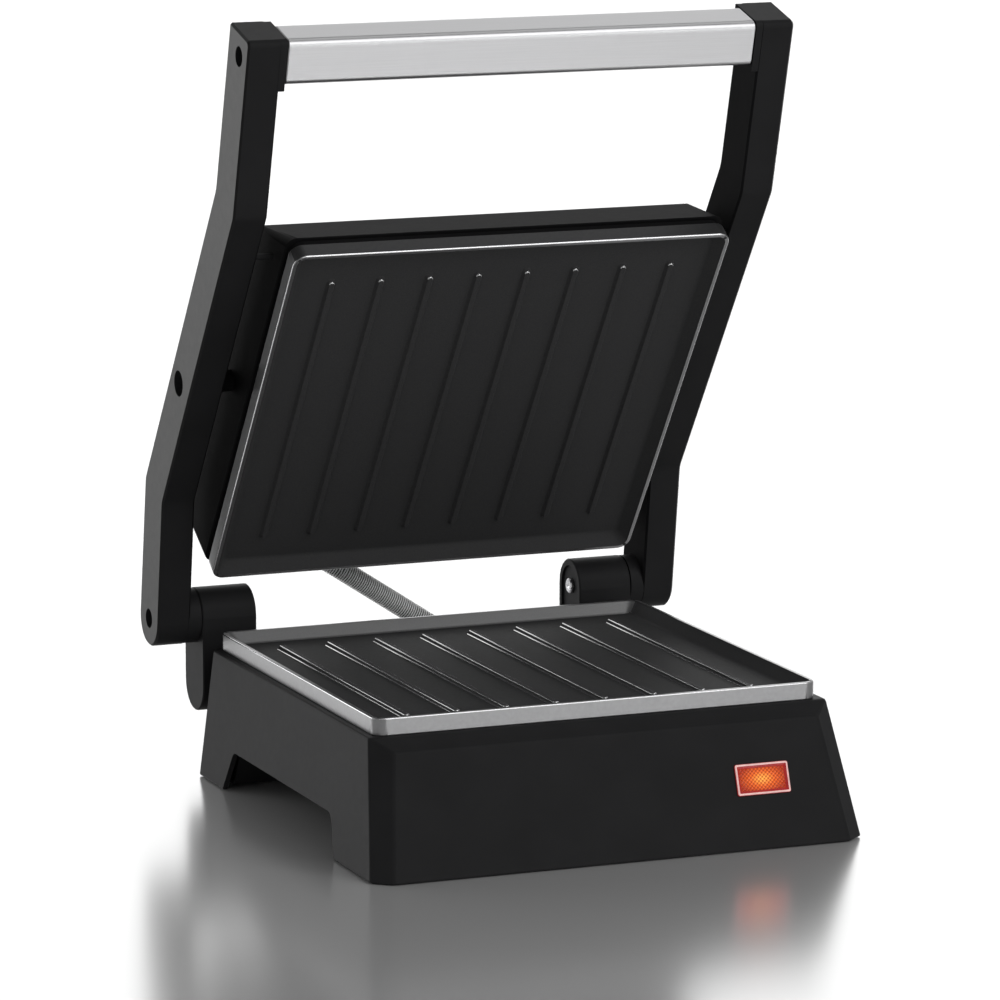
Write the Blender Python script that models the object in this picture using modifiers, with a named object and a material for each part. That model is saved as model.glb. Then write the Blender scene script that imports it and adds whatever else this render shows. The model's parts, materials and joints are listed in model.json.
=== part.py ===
"""Panini press with a fixed lower grill and a lid whose upper grill tilts between two arms.

Metres, +Z up, front towards -Y, left side towards -X. The origin is on the table, below the middle of
the press as it stands open. The lid is designed closed, about the hinge axis, and is then swung open.
Both grills are designed in a plate frame: origin at the middle of the plate's lip, +Z out of the tray.
"""
import math

import bmesh
import bpy
from mathutils import Matrix, Vector
from mathutils.geometry import intersect_line_plane

COLLECTION = "panini_press"
GAP = 0.0003                 # clearance between neighbouring pieces
SIDES = {"left": -1, "right": 1}

# Grill plates
PLATE_W, PLATE_D = 0.230, 0.222
PLATE_CORNER = 0.0065
RIM_H = 0.0085
LIP = 0.0018
TRAY_DEPTH = 0.006
TRAY_DRAFT = 0.005
PLATE_BACK = 0.0098          # how far the plate's back stands behind its lip
BACK_W, BACK_D = 0.206, 0.198
RIB_COUNT, RIB_PITCH, RIB_LENGTH = 8, 0.02567, 0.178
RIB_BASE, RIB_CREST, RIB_H = 0.0042, 0.0026, 0.002
LOWER_PLATE_Y, LOWER_LIP_Z = -0.0066, 0.0730

# Heating, behind each plate
HEATER_R = 0.0032
HEATER_Z = -(PLATE_BACK + GAP + HEATER_R)
REFLECTOR_W, REFLECTOR_D = 0.180, 0.160
REFLECTOR_Z = -0.0180
REFLECTOR_WALL = 0.0040
SHEET = 0.0008
WINDOW_R = 0.0130            # opening that the thermostat or the fuse looks through
HEATER_BOLT_X, HEATER_BOLT_R = 0.045, 0.002
FUSE_Y = 0.036

# Base shell
BASE_BOTTOM, BASE_TOP = 0.0004, 0.0645
BASE_REAR = 0.1029
BASE_FRONT_BOTTOM, BASE_FRONT_TOP = -0.1503, -0.1189
BASE_HALF_BOTTOM, BASE_HALF_TOP = 0.1271, 0.1188
CORNER_CUT_X, CORNER_CUT_Y = 0.0093, 0.0073
BREAK_Y, BREAK_Z = -0.1289, 0.0587       # where the front face bends towards the top
WALL = 0.0026
ARCH_TOP = 0.0212
ARCH_FRONT, ARCH_REAR = -0.0918, 0.0673  # feet of the side arch
ARCH_FRONT_TOP, ARCH_REAR_TOP = -0.0825, 0.0572
ARCH_FRONT_KNEE, ARCH_REAR_KNEE = 0.0060, 0.0045
ARCH_TOE_Z, ARCH_TOE_SPREAD = 0.0035, 0.0047

# Bottom cover, feet and screws
COVER_T = 0.0020
COVER_GAP = 0.0013           # between the arch and the cover that follows it
LEG_FLOOR = 0.0016
COVER_HALF = 0.1196
COVER_FRONT, COVER_REAR = -0.1418, 0.0992
FOOT_R = 0.0070
FOOT_X, FOOT_FRONT_Y, FOOT_REAR_Y = 0.108, -0.129, 0.086
POST_R, POST_HOLE_R, POST_HOLE_TOP = 0.0035, 0.0017, 0.0180
POST_PLACES = {"front": (0.096, -0.1158), "rear": (0.085, 0.0973)}
POST_TOPS = {"front": 0.0628, "rear": 0.0570}

# Pilot lamp, in the front face
LAMP_X, LAMP_Z = 0.0761, 0.0325
LAMP_W, LAMP_H = 0.0280, 0.0153
LAMP_BEZEL, LAMP_PROUD = 0.0019, 0.0012
LAMP_DEPTH, LAMP_BODY_DEPTH, LAMP_TAB_DEPTH = 0.009, 0.017, 0.024
LAMP_SKIN = 0.0010

# Hinge
HINGE_Y, HINGE_Z = 0.1344, 0.0766
HINGE_R = 0.0142
BRACKET_IN, BRACKET_OUT = 0.0893, 0.1183
BRACKET_BOTTOM = 0.0270
FOOT_BLOCK_IN, FOOT_BLOCK_OUT = 0.0920, 0.1100
FOOT_BLOCK_LOW, FOOT_BLOCK_HIGH = 0.0300, 0.0620
BRACKET_INSET, BRACKET_INSET_EDGE = 0.0012, 0.0035
BRACKET_HOLE_R = 0.0019
BOLT_R, BOLT_HEAD_R, BOLT_HEAD_H, BOLT_TIP = 0.0025, 0.0040, 0.0016, 0.1372
NUT_LOW, NUT_HIGH, NUT_R = 0.1325, 0.1365, 0.0044
WASHER_R, WASHER_BORE, WASHER_T = 0.0068, 0.0030, 0.0009
SEAT_R, SEAT_DEPTH = 0.0072, 0.0012

# Lid, in its closed position, measured from the hinge axis
REST_OPENING = math.radians(54.57)
ARM_IN, ARM_OUT = 0.1250, 0.1424
BOSS_IN = 0.1187
BLOCK_IN, BLOCK_REACH = 0.1222, 0.0028
ARM_ROOT = 0.0020             # how far the arm's bosses, block and peg run into the arm
ARM_WIDTH = 0.0280
ARM_LOW = 0.0178
ARM_KINK_FRONT, ARM_KINK_REAR = -0.2577, -0.0650
ARM_KNEE_TOP = (-0.0573, 0.0450)
ARM_NOSE_LENGTH = 0.0910
ARM_NOSE_ANGLE = math.radians(19.8)
HANDLE_DEEP, HANDLE_TALL = 0.0236, 0.0231
HANDLE_WALL = 0.0020
HANDLE_HALF = 0.1218
HANDLE_ROUND, HOLLOW_ROUND, PLUG_ROUND = 0.0038, 0.0018, 0.0015
PLUG_IN, PLUG_BORE_R = 0.1020, 0.0022
# Wells for the screws in each arm: radius, depth, and the radius of the bore that goes through
ARM_WELLS = {
    "handle": (0.0050, 0.0130, 0.0022),
    "pivot": (0.0066, 0.0120, 0.0031),
    "hinge": (0.0050, 0.0108, 0.0028),
}

# Upper grill, closed, measured from the hinge axis
UPPER_PLATE_Y, UPPER_LIP_Z = -0.1389, -0.0020
PIVOT_Y, PIVOT_Z = -0.1339, 0.0332
PIVOT_BOSS_R, PIVOT_SCREW_R = 0.0055, 0.0028
CASE_LIP, CASE_BACK = 0.0123, 0.0475     # from the lip plane to the case's edge and to its back
CASE_HALF_EDGE, CASE_HALF_BACK = 0.1153, 0.1150
CASE_HINGE_END, CASE_HINGE_BACK = -0.1113, -0.1034
CASE_BREAK = 0.0360           # depth at which the hinge end slopes in towards the back
CASE_FRONT_EDGE, CASE_FRONT_BACK = 0.1117, 0.0884
CASE_CORNER_EDGE, CASE_CORNER_BACK = 0.0055, 0.0020
CASE_WALL = 0.0022
NECK_HALF_W, NECK_HALF_D = 0.1132, 0.1098
GRILL_SCREW_X, GRILL_SCREW_Y = 0.098, 0.086
CASE_POST_R, CASE_POST_FOOT = 0.0032, 0.0148
SKIRT_HALF_W, SKIRT_FRONT, SKIRT_REAR = 0.1080, 0.1030, -0.1050
SKIRT_LOW, SKIRT_HIGH = -0.0160, -0.0110
TAB_X, TAB_Y, TAB_LOW, TAB_HIGH = 0.0925, 0.0805, -0.0145, -0.0122
STOP_PEG_IN = 0.1160
STOP_PEG_Y, STOP_PEG_Z, STOP_PEG_R = -0.2297, 0.0205, 0.0016

# Conduit between the two grills, as it lies with the lid at rest
CONDUIT_R = 0.0055
CONDUIT_TOP_X, CONDUIT_TOP_BACK = -0.0500, 0.0240
CONDUIT_LOW_X, CONDUIT_LOW_Z = 0.0360, 0.0480
CONDUIT_HOLE_R, FERRULE_R, FERRULE_NECK_R, FERRULE_BORE_R = 0.0058, 0.0070, 0.0055, 0.0036
CONDUIT_POINTS = (
    (-0.0500, 0.1377, 0.1099), (-0.0498, 0.1399, 0.1068), (-0.0478, 0.1417, 0.1016),
    (-0.0420, 0.1417, 0.0971), (-0.0339, 0.1404, 0.0918), (-0.0155, 0.1396, 0.0796),
    (0.0033, 0.1386, 0.0671), (0.0165, 0.1364, 0.0584), (0.0265, 0.1308, 0.0525),
    (0.0330, 0.1220, 0.0494), (0.0356, 0.1120, 0.0482), (0.0360, 0.1050, 0.0480),
)

# Mains inlet, in the rear wall
GLAND_X, GLAND_Z, GLAND_HOLE_R = 0.0660, 0.0200, 0.0060
GLAND_R, GLAND_NECK_R, GLAND_CLIP_R, GLAND_BORE_R = 0.0080, 0.0057, 0.0072, 0.0036


# ---------------------------------------------------------------- materials
def material(name, colour, roughness, metallic=0.0, alpha=1.0):
    made = bpy.data.materials.new(name)
    made.use_nodes = True
    shader = made.node_tree.nodes["Principled BSDF"]
    shader.inputs["Base Color"].default_value = (*colour, 1.0)
    shader.inputs["Roughness"].default_value = roughness
    shader.inputs["Metallic"].default_value = metallic
    shader.inputs["Alpha"].default_value = alpha
    made.diffuse_color = (*colour, alpha)
    return made


def make_materials():
    return {
        "housing": material("black_housing", (0.020, 0.020, 0.021), 0.45),
        "plate": material("coated_plate", (0.060, 0.060, 0.062), 0.40, 0.6),
        "handle": material("satin_aluminium", (0.62, 0.62, 0.63), 0.35, 1.0),
        "steel": material("bright_steel", (0.55, 0.55, 0.57), 0.25, 1.0),
        "rubber": material("black_rubber", (0.015, 0.015, 0.015), 0.80),
        "lens": material("amber_lens", (0.80, 0.10, 0.02), 0.15),
        "glass": material("clear_glass", (0.90, 0.75, 0.60), 0.05, 0.0, 0.4),
        "nylon": material("white_nylon", (0.70, 0.69, 0.66), 0.50),
        "ceramic": material("white_ceramic", (0.75, 0.74, 0.70), 0.60),
        "sheet": material("reflector_sheet", (0.70, 0.70, 0.72), 0.30, 1.0),
    }


# ---------------------------------------------------------------- building blocks
def clear_scene():
    for old in list(bpy.data.objects):
        bpy.data.objects.remove(old, do_unlink=True)


def make_collection(name):
    made = bpy.data.collections.new(name)
    bpy.context.scene.collection.children.link(made)
    return made


class Press:
    """The collections, the materials and the frames that every piece is placed in."""

    def __init__(self):
        self.parts = make_collection(COLLECTION)
        self.cutters = make_collection("cutters")
        self.materials = make_materials()
        self.lower = self.frame("lower_grill_frame", (0, LOWER_PLATE_Y, LOWER_LIP_Z))
        self.lid = self.frame("lid_hinge_axis", (0, HINGE_Y, HINGE_Z), -REST_OPENING)
        self.tilt = self.frame("plate_tilt_axis", (0, PIVOT_Y, PIVOT_Z), 0.0, self.lid)
        upper_place = (0, UPPER_PLATE_Y - PIVOT_Y, UPPER_LIP_Z - PIVOT_Z)
        self.upper = self.frame("upper_grill_frame", upper_place, math.pi, self.tilt)

    def frame(self, name, place, turn=0.0, parent=None):
        empty = bpy.data.objects.new(name, None)
        empty.location = place
        empty.rotation_euler = (turn, 0, 0)
        empty.parent = parent
        self.parts.objects.link(empty)
        return empty

    def part(self, obj, finish, parent=None, smooth=35):
        """Put a finished solid among the parts, with its material and its frame."""
        self.parts.objects.link(obj)
        obj.parent = parent
        obj.data.materials.append(self.materials[finish])
        if obj.type == "MESH":
            obj.data.shade_smooth()
            obj.data.set_sharp_from_angle(angle=math.radians(smooth))
        return obj

    def combine(self, obj, tool, operation):
        self.cutters.objects.link(tool)
        tool.parent = obj.parent
        tool.hide_render = True
        tool.display_type = "WIRE"
        step = obj.modifiers.new(f"{operation.lower()}_{tool.name}", "BOOLEAN")
        step.operation = operation
        step.object = tool

    def cut(self, obj, tool):
        self.combine(obj, tool, "DIFFERENCE")

    def join(self, obj, tool):
        self.combine(obj, tool, "UNION")


def object_from(name, bm):
    mesh = bpy.data.meshes.new(name)
    bmesh.ops.recalc_face_normals(bm, faces=bm.faces)
    bm.to_mesh(mesh)
    bm.free()
    return bpy.data.objects.new(name, mesh)


def box(name, low, high):
    bm = bmesh.new()
    bmesh.ops.create_cube(bm, size=1.0)
    size = Vector(high) - Vector(low)
    middle = (Vector(high) + Vector(low)) / 2
    bmesh.ops.transform(bm, matrix=Matrix.Translation(middle) @ Matrix.Diagonal((*size, 1)), verts=bm.verts)
    return object_from(name, bm)


def rod(name, start, end, radius, sides=20, end_radius=None):
    """A cylinder, or a cone, between two points."""
    start, end = Vector(start), Vector(end)
    turn = (end - start).to_track_quat("Z", "Y").to_matrix().to_4x4()
    bm = bmesh.new()
    bmesh.ops.create_cone(
        bm, cap_ends=True, segments=sides, radius1=radius,
        radius2=radius if end_radius is None else end_radius, depth=(end - start).length,
        matrix=Matrix.Translation((start + end) / 2) @ turn)
    return object_from(name, bm)


def hull(name, points):
    """The convex solid around a few corner points."""
    bm = bmesh.new()
    for point in points:
        bm.verts.new(point)
    made = bmesh.ops.convex_hull(bm, input=bm.verts)
    bmesh.ops.delete(bm, geom=made["geom_unused"], context="VERTS")
    bmesh.ops.dissolve_limit(bm, angle_limit=math.radians(0.6), verts=bm.verts, edges=bm.edges)
    return object_from(name, bm)


def mirrored(points):
    return [(side * x, y, z) for side in SIDES.values() for x, y, z in points]


def arc(centre, radius, start, end, steps):
    """Points on an arc of a plane curve, angles in degrees."""
    turns = [math.radians(start + (end - start) * i / steps) for i in range(steps + 1)]
    return [(centre[0] + radius * math.cos(t), centre[1] + radius * math.sin(t)) for t in turns]


def rounded_rectangle(width, depth, radius, steps=5):
    half_w, half_d = width / 2 - radius, depth / 2 - radius
    corners = ((half_w, half_d, 0), (-half_w, half_d, 90), (-half_w, -half_d, 180), (half_w, -half_d, 270))
    return [p for x, y, turn in corners for p in arc((x, y), radius, turn, turn + 90, steps)]


def rounded(points, radii, steps=4):
    """A closed outline with a fillet at each corner that has a radius."""
    outline = []
    for i, radius in enumerate(radii):
        corner = Vector(points[i])
        back = (Vector(points[i - 1]) - corner).normalized()
        ahead = (Vector(points[(i + 1) % len(points)]) - corner).normalized()
        if radius == 0:
            outline.append(tuple(corner))
            continue
        half = back.angle(ahead) / 2
        reach = radius / math.tan(half)
        centre = corner + (back + ahead).normalized() * radius / math.sin(half)
        first = corner + back * reach - centre
        last = corner + ahead * reach - centre
        sweep = first.angle_signed(last)
        for k in range(steps + 1):
            turn = Matrix.Rotation(-sweep * k / steps, 2)
            outline.append(tuple(centre + turn @ first))
    return outline


def flat_solid(name, outline, low, high):
    """An outline in X and Y, given a thickness from low to high in Z."""
    curve = bpy.data.curves.new(name, "CURVE")
    curve.dimensions = "2D"
    curve.fill_mode = "BOTH"
    curve.extrude = (high - low) / 2
    spline = curve.splines.new("POLY")
    spline.points.add(len(outline) - 1)
    for point, (x, y) in zip(spline.points, outline):
        point.co = (x, y, 0, 1)
    spline.use_cyclic_u = True
    source = bpy.data.objects.new(name, curve)
    bpy.context.scene.collection.objects.link(source)
    graph = bpy.context.evaluated_depsgraph_get()
    mesh = bpy.data.meshes.new_from_object(source.evaluated_get(graph))
    bpy.data.objects.remove(source, do_unlink=True)
    bm = bmesh.new()
    bm.from_mesh(mesh)
    bmesh.ops.remove_doubles(bm, verts=bm.verts, dist=0.00001)
    bmesh.ops.dissolve_limit(bm, angle_limit=math.radians(0.5), verts=bm.verts, edges=bm.edges)
    bmesh.ops.translate(bm, vec=(0, 0, (low + high) / 2), verts=bm.verts)
    return object_from(name, bm)


def side_solid(name, outline, low, high):
    """An outline in Y and Z, given a thickness from low to high in X."""
    made = flat_solid(name, outline, low, high)
    made.data.transform(Matrix(((0, 0, 1, 0), (1, 0, 0, 0), (0, 1, 0, 0), (0, 0, 0, 1))))
    return made


def loft(name, loops):
    """A closed solid through loops of equal length, each a list of 3D points."""
    bm = bmesh.new()
    rings = [[bm.verts.new(point) for point in loop] for loop in loops]
    for lower, upper in zip(rings, rings[1:]):
        for i, vert in enumerate(lower):
            bm.faces.new((lower[i - 1], vert, upper[i], upper[i - 1]))
    bm.faces.new(rings[0])
    bm.faces.new(rings[-1])
    return object_from(name, bm)


def at_height(outline, z):
    return [(x, y, z) for x, y in outline]


def turned(name, profile, place, direction, steps=28, ring=True):
    """A profile of (radius, height) points, outer side first and top to bottom, turned about an axis."""
    mesh = bpy.data.meshes.new(name)
    count = len(profile)
    edges = [(i, i + 1) for i in range(count - 1)]
    if ring:
        edges.append((count - 1, 0))
    mesh.from_pydata([(radius, 0, height) for radius, height in profile], edges, [])
    made = bpy.data.objects.new(name, mesh)
    made.location = place
    made.rotation_mode = "QUATERNION"
    made.rotation_quaternion = Vector(direction).to_track_quat("Z", "Y")
    screw = made.modifiers.new("turn", "SCREW")
    screw.steps = steps
    screw.render_steps = steps
    screw.use_merge_vertices = True
    screw.merge_threshold = 0.00001
    screw.use_smooth_shade = True
    return made


def tube(name, points, radius, resolution=2):
    """A wire or pipe along a line of points, with filled ends."""
    curve = bpy.data.curves.new(name, "CURVE")
    curve.dimensions = "3D"
    curve.bevel_depth = radius
    curve.bevel_resolution = resolution
    curve.use_fill_caps = True
    spline = curve.splines.new("POLY")
    spline.points.add(len(points) - 1)
    for point, place in zip(spline.points, points):
        point.co = (*place, 1)
    return bpy.data.objects.new(name, curve)


def smooth_route(points, spacing):
    """Evenly spaced points on a Catmull-Rom curve through the given ones."""
    knots = [Vector(p) for p in points]
    knots = [2 * knots[0] - knots[1], *knots, 2 * knots[-1] - knots[-2]]
    route = []
    for a, b, c, d in zip(knots, knots[1:], knots[2:], knots[3:]):
        steps = max(1, round((c - b).length / spacing))
        for k in range(steps):
            t = k / steps
            route.append(0.5 * (2 * b + (c - a) * t + (2 * a - 5 * b + 4 * c - d) * t ** 2
                                + (3 * b - 3 * c + d - a) * t ** 3))
    return [*route, knots[-2]]


def soften(obj, width, segments=2, angle=25):
    bevel = obj.modifiers.new("soft_edges", "BEVEL")
    bevel.width = width
    bevel.segments = segments
    bevel.limit_method = "ANGLE"
    bevel.angle_limit = math.radians(angle)


def screw_solid(name, head, tip, shank_r, head_r, head_h):
    """A screw: its head's top at one point, its tip at another, with a socket in the head."""
    length = (Vector(head) - Vector(tip)).length
    profile = [(0, length - head_h * 0.6), (head_r * 0.45, length), (head_r * 0.85, length),
               (head_r, length - head_h * 0.35), (head_r, length - head_h),
               (shank_r, length - head_h), (shank_r, 0), (0, 0)]
    return turned(name, profile, tip, Vector(head) - Vector(tip), steps=12, ring=False)


# ---------------------------------------------------------------- grill plates and their heating
def rib_set(name):
    """All the ribs of a plate, each a low bar with round ends and drafted sides."""
    bm = bmesh.new()
    z_base, z_crest = -TRAY_DEPTH - 0.0003, -TRAY_DEPTH + RIB_H
    for index in range(RIB_COUNT):
        x = (index - (RIB_COUNT - 1) / 2) * RIB_PITCH
        rings = []
        for width, inset, z in ((RIB_BASE, 0, z_base), (RIB_CREST, 0.0008, z_crest)):
            length = RIB_LENGTH - 2 * inset
            half = length / 2 - width / 2
            outline = (arc((x, half), width / 2, 0, 180, 4) + arc((x, -half), width / 2, 180, 360, 4))
            rings.append([bm.verts.new(point) for point in at_height(outline, z)])
        low, high = rings
        for i in range(len(low)):
            bm.faces.new((low[i - 1], low[i], high[i], high[i - 1]))
        bm.faces.new(low)
        bm.faces.new(high)
    return object_from(name, bm)


def make_plate(press, name, frame):
    """A die-cast tray with a thin lip, drafted inner walls and ribs, and a raised back."""
    plate = flat_solid(name, rounded_rectangle(PLATE_W, PLATE_D, PLATE_CORNER), -RIM_H, 0)
    press.part(plate, "plate", frame)
    soften(plate, 0.0004, 1, 60)
    back = box(f"{name}_back", (-BACK_W / 2, -BACK_D / 2, -PLATE_BACK), (BACK_W / 2, BACK_D / 2, -0.0070))
    press.join(plate, back)
    mouth_w, mouth_d = PLATE_W - 2 * LIP, PLATE_D - 2 * LIP
    above = TRAY_DRAFT / TRAY_DEPTH * 0.001
    mouth = rounded_rectangle(mouth_w + 2 * above, mouth_d + 2 * above, PLATE_CORNER - LIP + above)
    floor = rounded_rectangle(mouth_w - 2 * TRAY_DRAFT, mouth_d - 2 * TRAY_DRAFT, PLATE_CORNER - LIP)
    press.cut(plate, loft(f"{name}_tray", [at_height(floor, -TRAY_DEPTH), at_height(mouth, 0.001)]))
    press.join(plate, rib_set(f"{name}_ribs"))
    return plate


def make_heater(press, name, frame):
    """A tubular element bent into a double loop, with its cold ends turned away from the plate."""
    reach_x, reach_y, inner, turn = 0.066, 0.060, 0.026, 0.014
    outline = [(-inner, -reach_y), (-reach_x, -reach_y), (-reach_x, reach_y), (reach_x, reach_y),
               (reach_x, -reach_y), (inner, -reach_y)]
    path = []
    for index, corner in enumerate(outline):
        if index in (0, len(outline) - 1):
            path.append((*corner, HEATER_Z))
            continue
        centre_x = corner[0] - math.copysign(turn, corner[0])
        centre_y = corner[1] - math.copysign(turn, corner[1])
        start = {(-1, -1): 270, (-1, 1): 180, (1, 1): 90, (1, -1): 0}[
            (int(math.copysign(1, corner[0])), int(math.copysign(1, corner[1])))]
        path += at_height(arc((centre_x, centre_y), turn, start, start - 90, 4), HEATER_Z)
    tail, drop = 0.006, 0.001
    first, last = path[0], path[-1]
    path = [(first[0] + tail, first[1], HEATER_Z - drop), *path, (last[0] - tail, last[1], HEATER_Z - drop)]
    return press.part(tube(name, path, HEATER_R), "steel", frame)


def make_reflector(press, name, frame):
    """A thin tray of bright sheet that throws the heat back at the plate."""
    half_w, half_d, top = REFLECTOR_W / 2, REFLECTOR_D / 2, REFLECTOR_Z + REFLECTOR_WALL
    tray = box(name, (-half_w, -half_d, REFLECTOR_Z - SHEET), (half_w, half_d, top))
    press.part(tray, "sheet", frame)
    inside = box(f"{name}_inside", (-half_w + SHEET, -half_d + SHEET, REFLECTOR_Z),
                 (half_w - SHEET, half_d - SHEET, top + 0.001))
    press.cut(tray, inside)
    below, above = REFLECTOR_Z - 0.002, REFLECTOR_Z + 0.002
    press.cut(tray, rod(f"{name}_window", (0, 0, below), (0, 0, above), WINDOW_R))
    for side, sign in SIDES.items():
        x = sign * HEATER_BOLT_X
        press.cut(tray, rod(f"{name}_hole_{side}", (x, 0, below), (x, 0, above), HEATER_BOLT_R, 12))
    return tray


def make_fuse(press, name, frame):
    """A thermal fuse: a small can with a lead at each end, lying behind the plate."""
    profile = [(0, 0.021), (0.0006, 0.021), (0.0006, 0.0065), (0.0020, 0.0060), (0.0020, -0.0060),
               (0.0006, -0.0065), (0.0006, -0.021), (0, -0.021)]
    can = turned(name, profile, (0, FUSE_Y, HEATER_Z), (1, 0, 0), steps=12, ring=False)
    return press.part(can, "steel", frame)


# ---------------------------------------------------------------- base
def base_corners(inset, bottom):
    """Corner points of the base's outer or inner skin, the front corners cut off towards the top."""
    slope = (BASE_HALF_BOTTOM - BASE_HALF_TOP) / BASE_TOP
    half_low = BASE_HALF_BOTTOM - slope * bottom - inset
    lean = (BREAK_Y - BASE_FRONT_BOTTOM) / BREAK_Z
    front_low = BASE_FRONT_BOTTOM + lean * bottom + inset
    low_front = Vector((half_low - CORNER_CUT_X, front_low, bottom))
    low_side = Vector((half_low, front_low + CORNER_CUT_Y, bottom))
    top = BASE_TOP - inset
    top_front = Vector((BASE_HALF_TOP - inset, BASE_FRONT_TOP + inset, top))
    normal = (low_side - low_front).cross(top_front - low_front)
    level = Vector((0, BREAK_Y + inset, BREAK_Z - inset * 0.4))
    break_point = intersect_line_plane(level, level + Vector((1, 0, 0)), low_front, normal)
    low_rear = (half_low, BASE_REAR - inset, bottom)
    top_rear = (BASE_HALF_TOP - inset, BASE_REAR - inset, top)
    return mirrored([low_front, low_side, low_rear, break_point, top_front, top_rear])


def arch_outline(floor=-0.005):
    """The side arch: a sloping rear foot, a level top, a rounded front knee and a toe that spreads."""
    slope_rear = (ARCH_REAR - ARCH_REAR_TOP) / ARCH_TOP
    corners = [(ARCH_REAR - slope_rear * floor, floor), (ARCH_REAR_TOP, ARCH_TOP),
               (ARCH_FRONT_TOP, ARCH_TOP), (ARCH_FRONT, ARCH_TOE_Z),
               (ARCH_FRONT - ARCH_TOE_SPREAD, floor)]
    return rounded(corners, [0, ARCH_REAR_KNEE, ARCH_FRONT_KNEE, 0.002, 0], 5)


def post(name, x, y, high):
    return rod(name, (x, y, LEG_FLOOR + COVER_T + GAP), (x, y, high), POST_R, 14)


def post_places():
    return {f"{end}_{side}": (sign * x, y)
            for end, (x, y) in POST_PLACES.items() for side, sign in SIDES.items()}


def lamp_frame():
    """A frame on the sloping front face: X across, Y up the slope, Z out of the face."""
    lean = (BREAK_Y - BASE_FRONT_BOTTOM) / BREAK_Z
    up = Vector((0, lean, 1)).normalized()
    across = Vector((1, 0, 0))
    out = across.cross(up)
    place = Vector((LAMP_X, BASE_FRONT_BOTTOM + lean * LAMP_Z, LAMP_Z))
    turn = Matrix((across, up, out)).transposed().to_4x4()
    return Matrix.Translation(place) @ turn


def make_base_shell(press):
    shell = hull("base_shell", base_corners(0.0, BASE_BOTTOM))
    press.part(shell, "housing")
    soften(shell, 0.0010)
    press.cut(shell, hull("base_hollow", base_corners(WALL, -0.010)))
    opening_x, opening_y = BACK_W / 2 + GAP, BACK_D / 2 + GAP
    opening = box("plate_opening", (-opening_x, LOWER_PLATE_Y - opening_y, BASE_TOP - 0.01),
                  (opening_x, LOWER_PLATE_Y + opening_y, BASE_TOP + 0.01))
    press.cut(shell, opening)
    press.cut(shell, side_solid("arch_cutter", arch_outline(), -0.15, 0.15))
    for name, (x, y) in post_places().items():
        press.join(shell, post(f"post_{name}", x, y, POST_TOPS[name.split("_")[0]]))
        press.cut(shell, rod(f"post_hole_{name}", (x, y, 0), (x, y, POST_HOLE_TOP), POST_HOLE_R, 12))
    window = box("lamp_window", (-LAMP_W / 2 + LAMP_BEZEL, -LAMP_H / 2 + LAMP_BEZEL, -0.006),
                 (LAMP_W / 2 - LAMP_BEZEL, LAMP_H / 2 - LAMP_BEZEL, 0.004))
    window.data.transform(lamp_frame())
    press.cut(shell, window)
    inside, outside = BASE_REAR - 2 * WALL, BASE_REAR + 2 * WALL
    holes = {"gland": (GLAND_X, GLAND_Z, GLAND_HOLE_R),
             "conduit": (CONDUIT_LOW_X, CONDUIT_LOW_Z, CONDUIT_HOLE_R)}
    for name, (x, z, radius) in holes.items():
        press.cut(shell, rod(f"{name}_hole", (x, inside, z), (x, outside, z), radius))
    for name, (x, z) in bracket_screw_places().items():
        press.cut(shell, rod(f"bracket_hole_{name}", (x, inside, z), (x, outside, z), BRACKET_HOLE_R, 12))
    return shell


def make_bottom_cover(press):
    """A sheet that follows the arch from the front leg to the rear leg and closes the base."""
    low, top = ARCH_TOP + COVER_GAP, ARCH_TOP + COVER_GAP + COVER_T
    foot_gap, shoulder_gap = 0.0030, 0.0019           # level, from the arch's corners to the sheet's
    front_low, front_top = ARCH_FRONT - foot_gap, ARCH_FRONT_TOP - shoulder_gap
    rear_low, rear_top = ARCH_REAR + foot_gap, ARCH_REAR_TOP + shoulder_gap
    skew = COVER_T * 0.60                 # level shift of the upper corners that keeps the sheet's thickness
    low_line = [(COVER_FRONT, LEG_FLOOR), (front_low, LEG_FLOOR), (front_top, low),
                (rear_top, low), (rear_low, LEG_FLOOR), (COVER_REAR, LEG_FLOOR)]
    top_line = [(COVER_REAR, LEG_FLOOR + COVER_T), (rear_low + skew, LEG_FLOOR + COVER_T),
                (rear_top + skew, top), (front_top - skew, top), (front_low - skew, LEG_FLOOR + COVER_T),
                (COVER_FRONT, LEG_FLOOR + COVER_T)]
    cover = side_solid("bottom_cover", top_line + low_line, -COVER_HALF, COVER_HALF)
    press.part(cover, "housing")
    for name, (x, y) in post_places().items():
        press.cut(cover, rod(f"cover_hole_{name}", (x, y, 0), (x, y, 0.008), POST_HOLE_R, 12))
    return cover


def make_bottom_screws(press):
    for name, (x, y) in post_places().items():
        head_h, tip = 0.0009, 0.0140
        screw = screw_solid(f"bottom_screw_{name}", (x, y, LEG_FLOOR - GAP - head_h), (x, y, tip),
                            0.0013, 0.0029, head_h)
        press.part(screw, "steel")


def make_feet(press):
    for end, y in (("front", FOOT_FRONT_Y), ("rear", FOOT_REAR_Y)):
        for side, sign in SIDES.items():
            top = LEG_FLOOR - GAP
            profile = [(0, top), (FOOT_R, top), (FOOT_R, 0.0004), (FOOT_R - 0.0005, 0), (0, 0)]
            foot = turned(f"foot_{end}_{side}", profile, (sign * FOOT_X, y, 0), (0, 0, 1), 20, ring=False)
            press.part(foot, "rubber")


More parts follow.
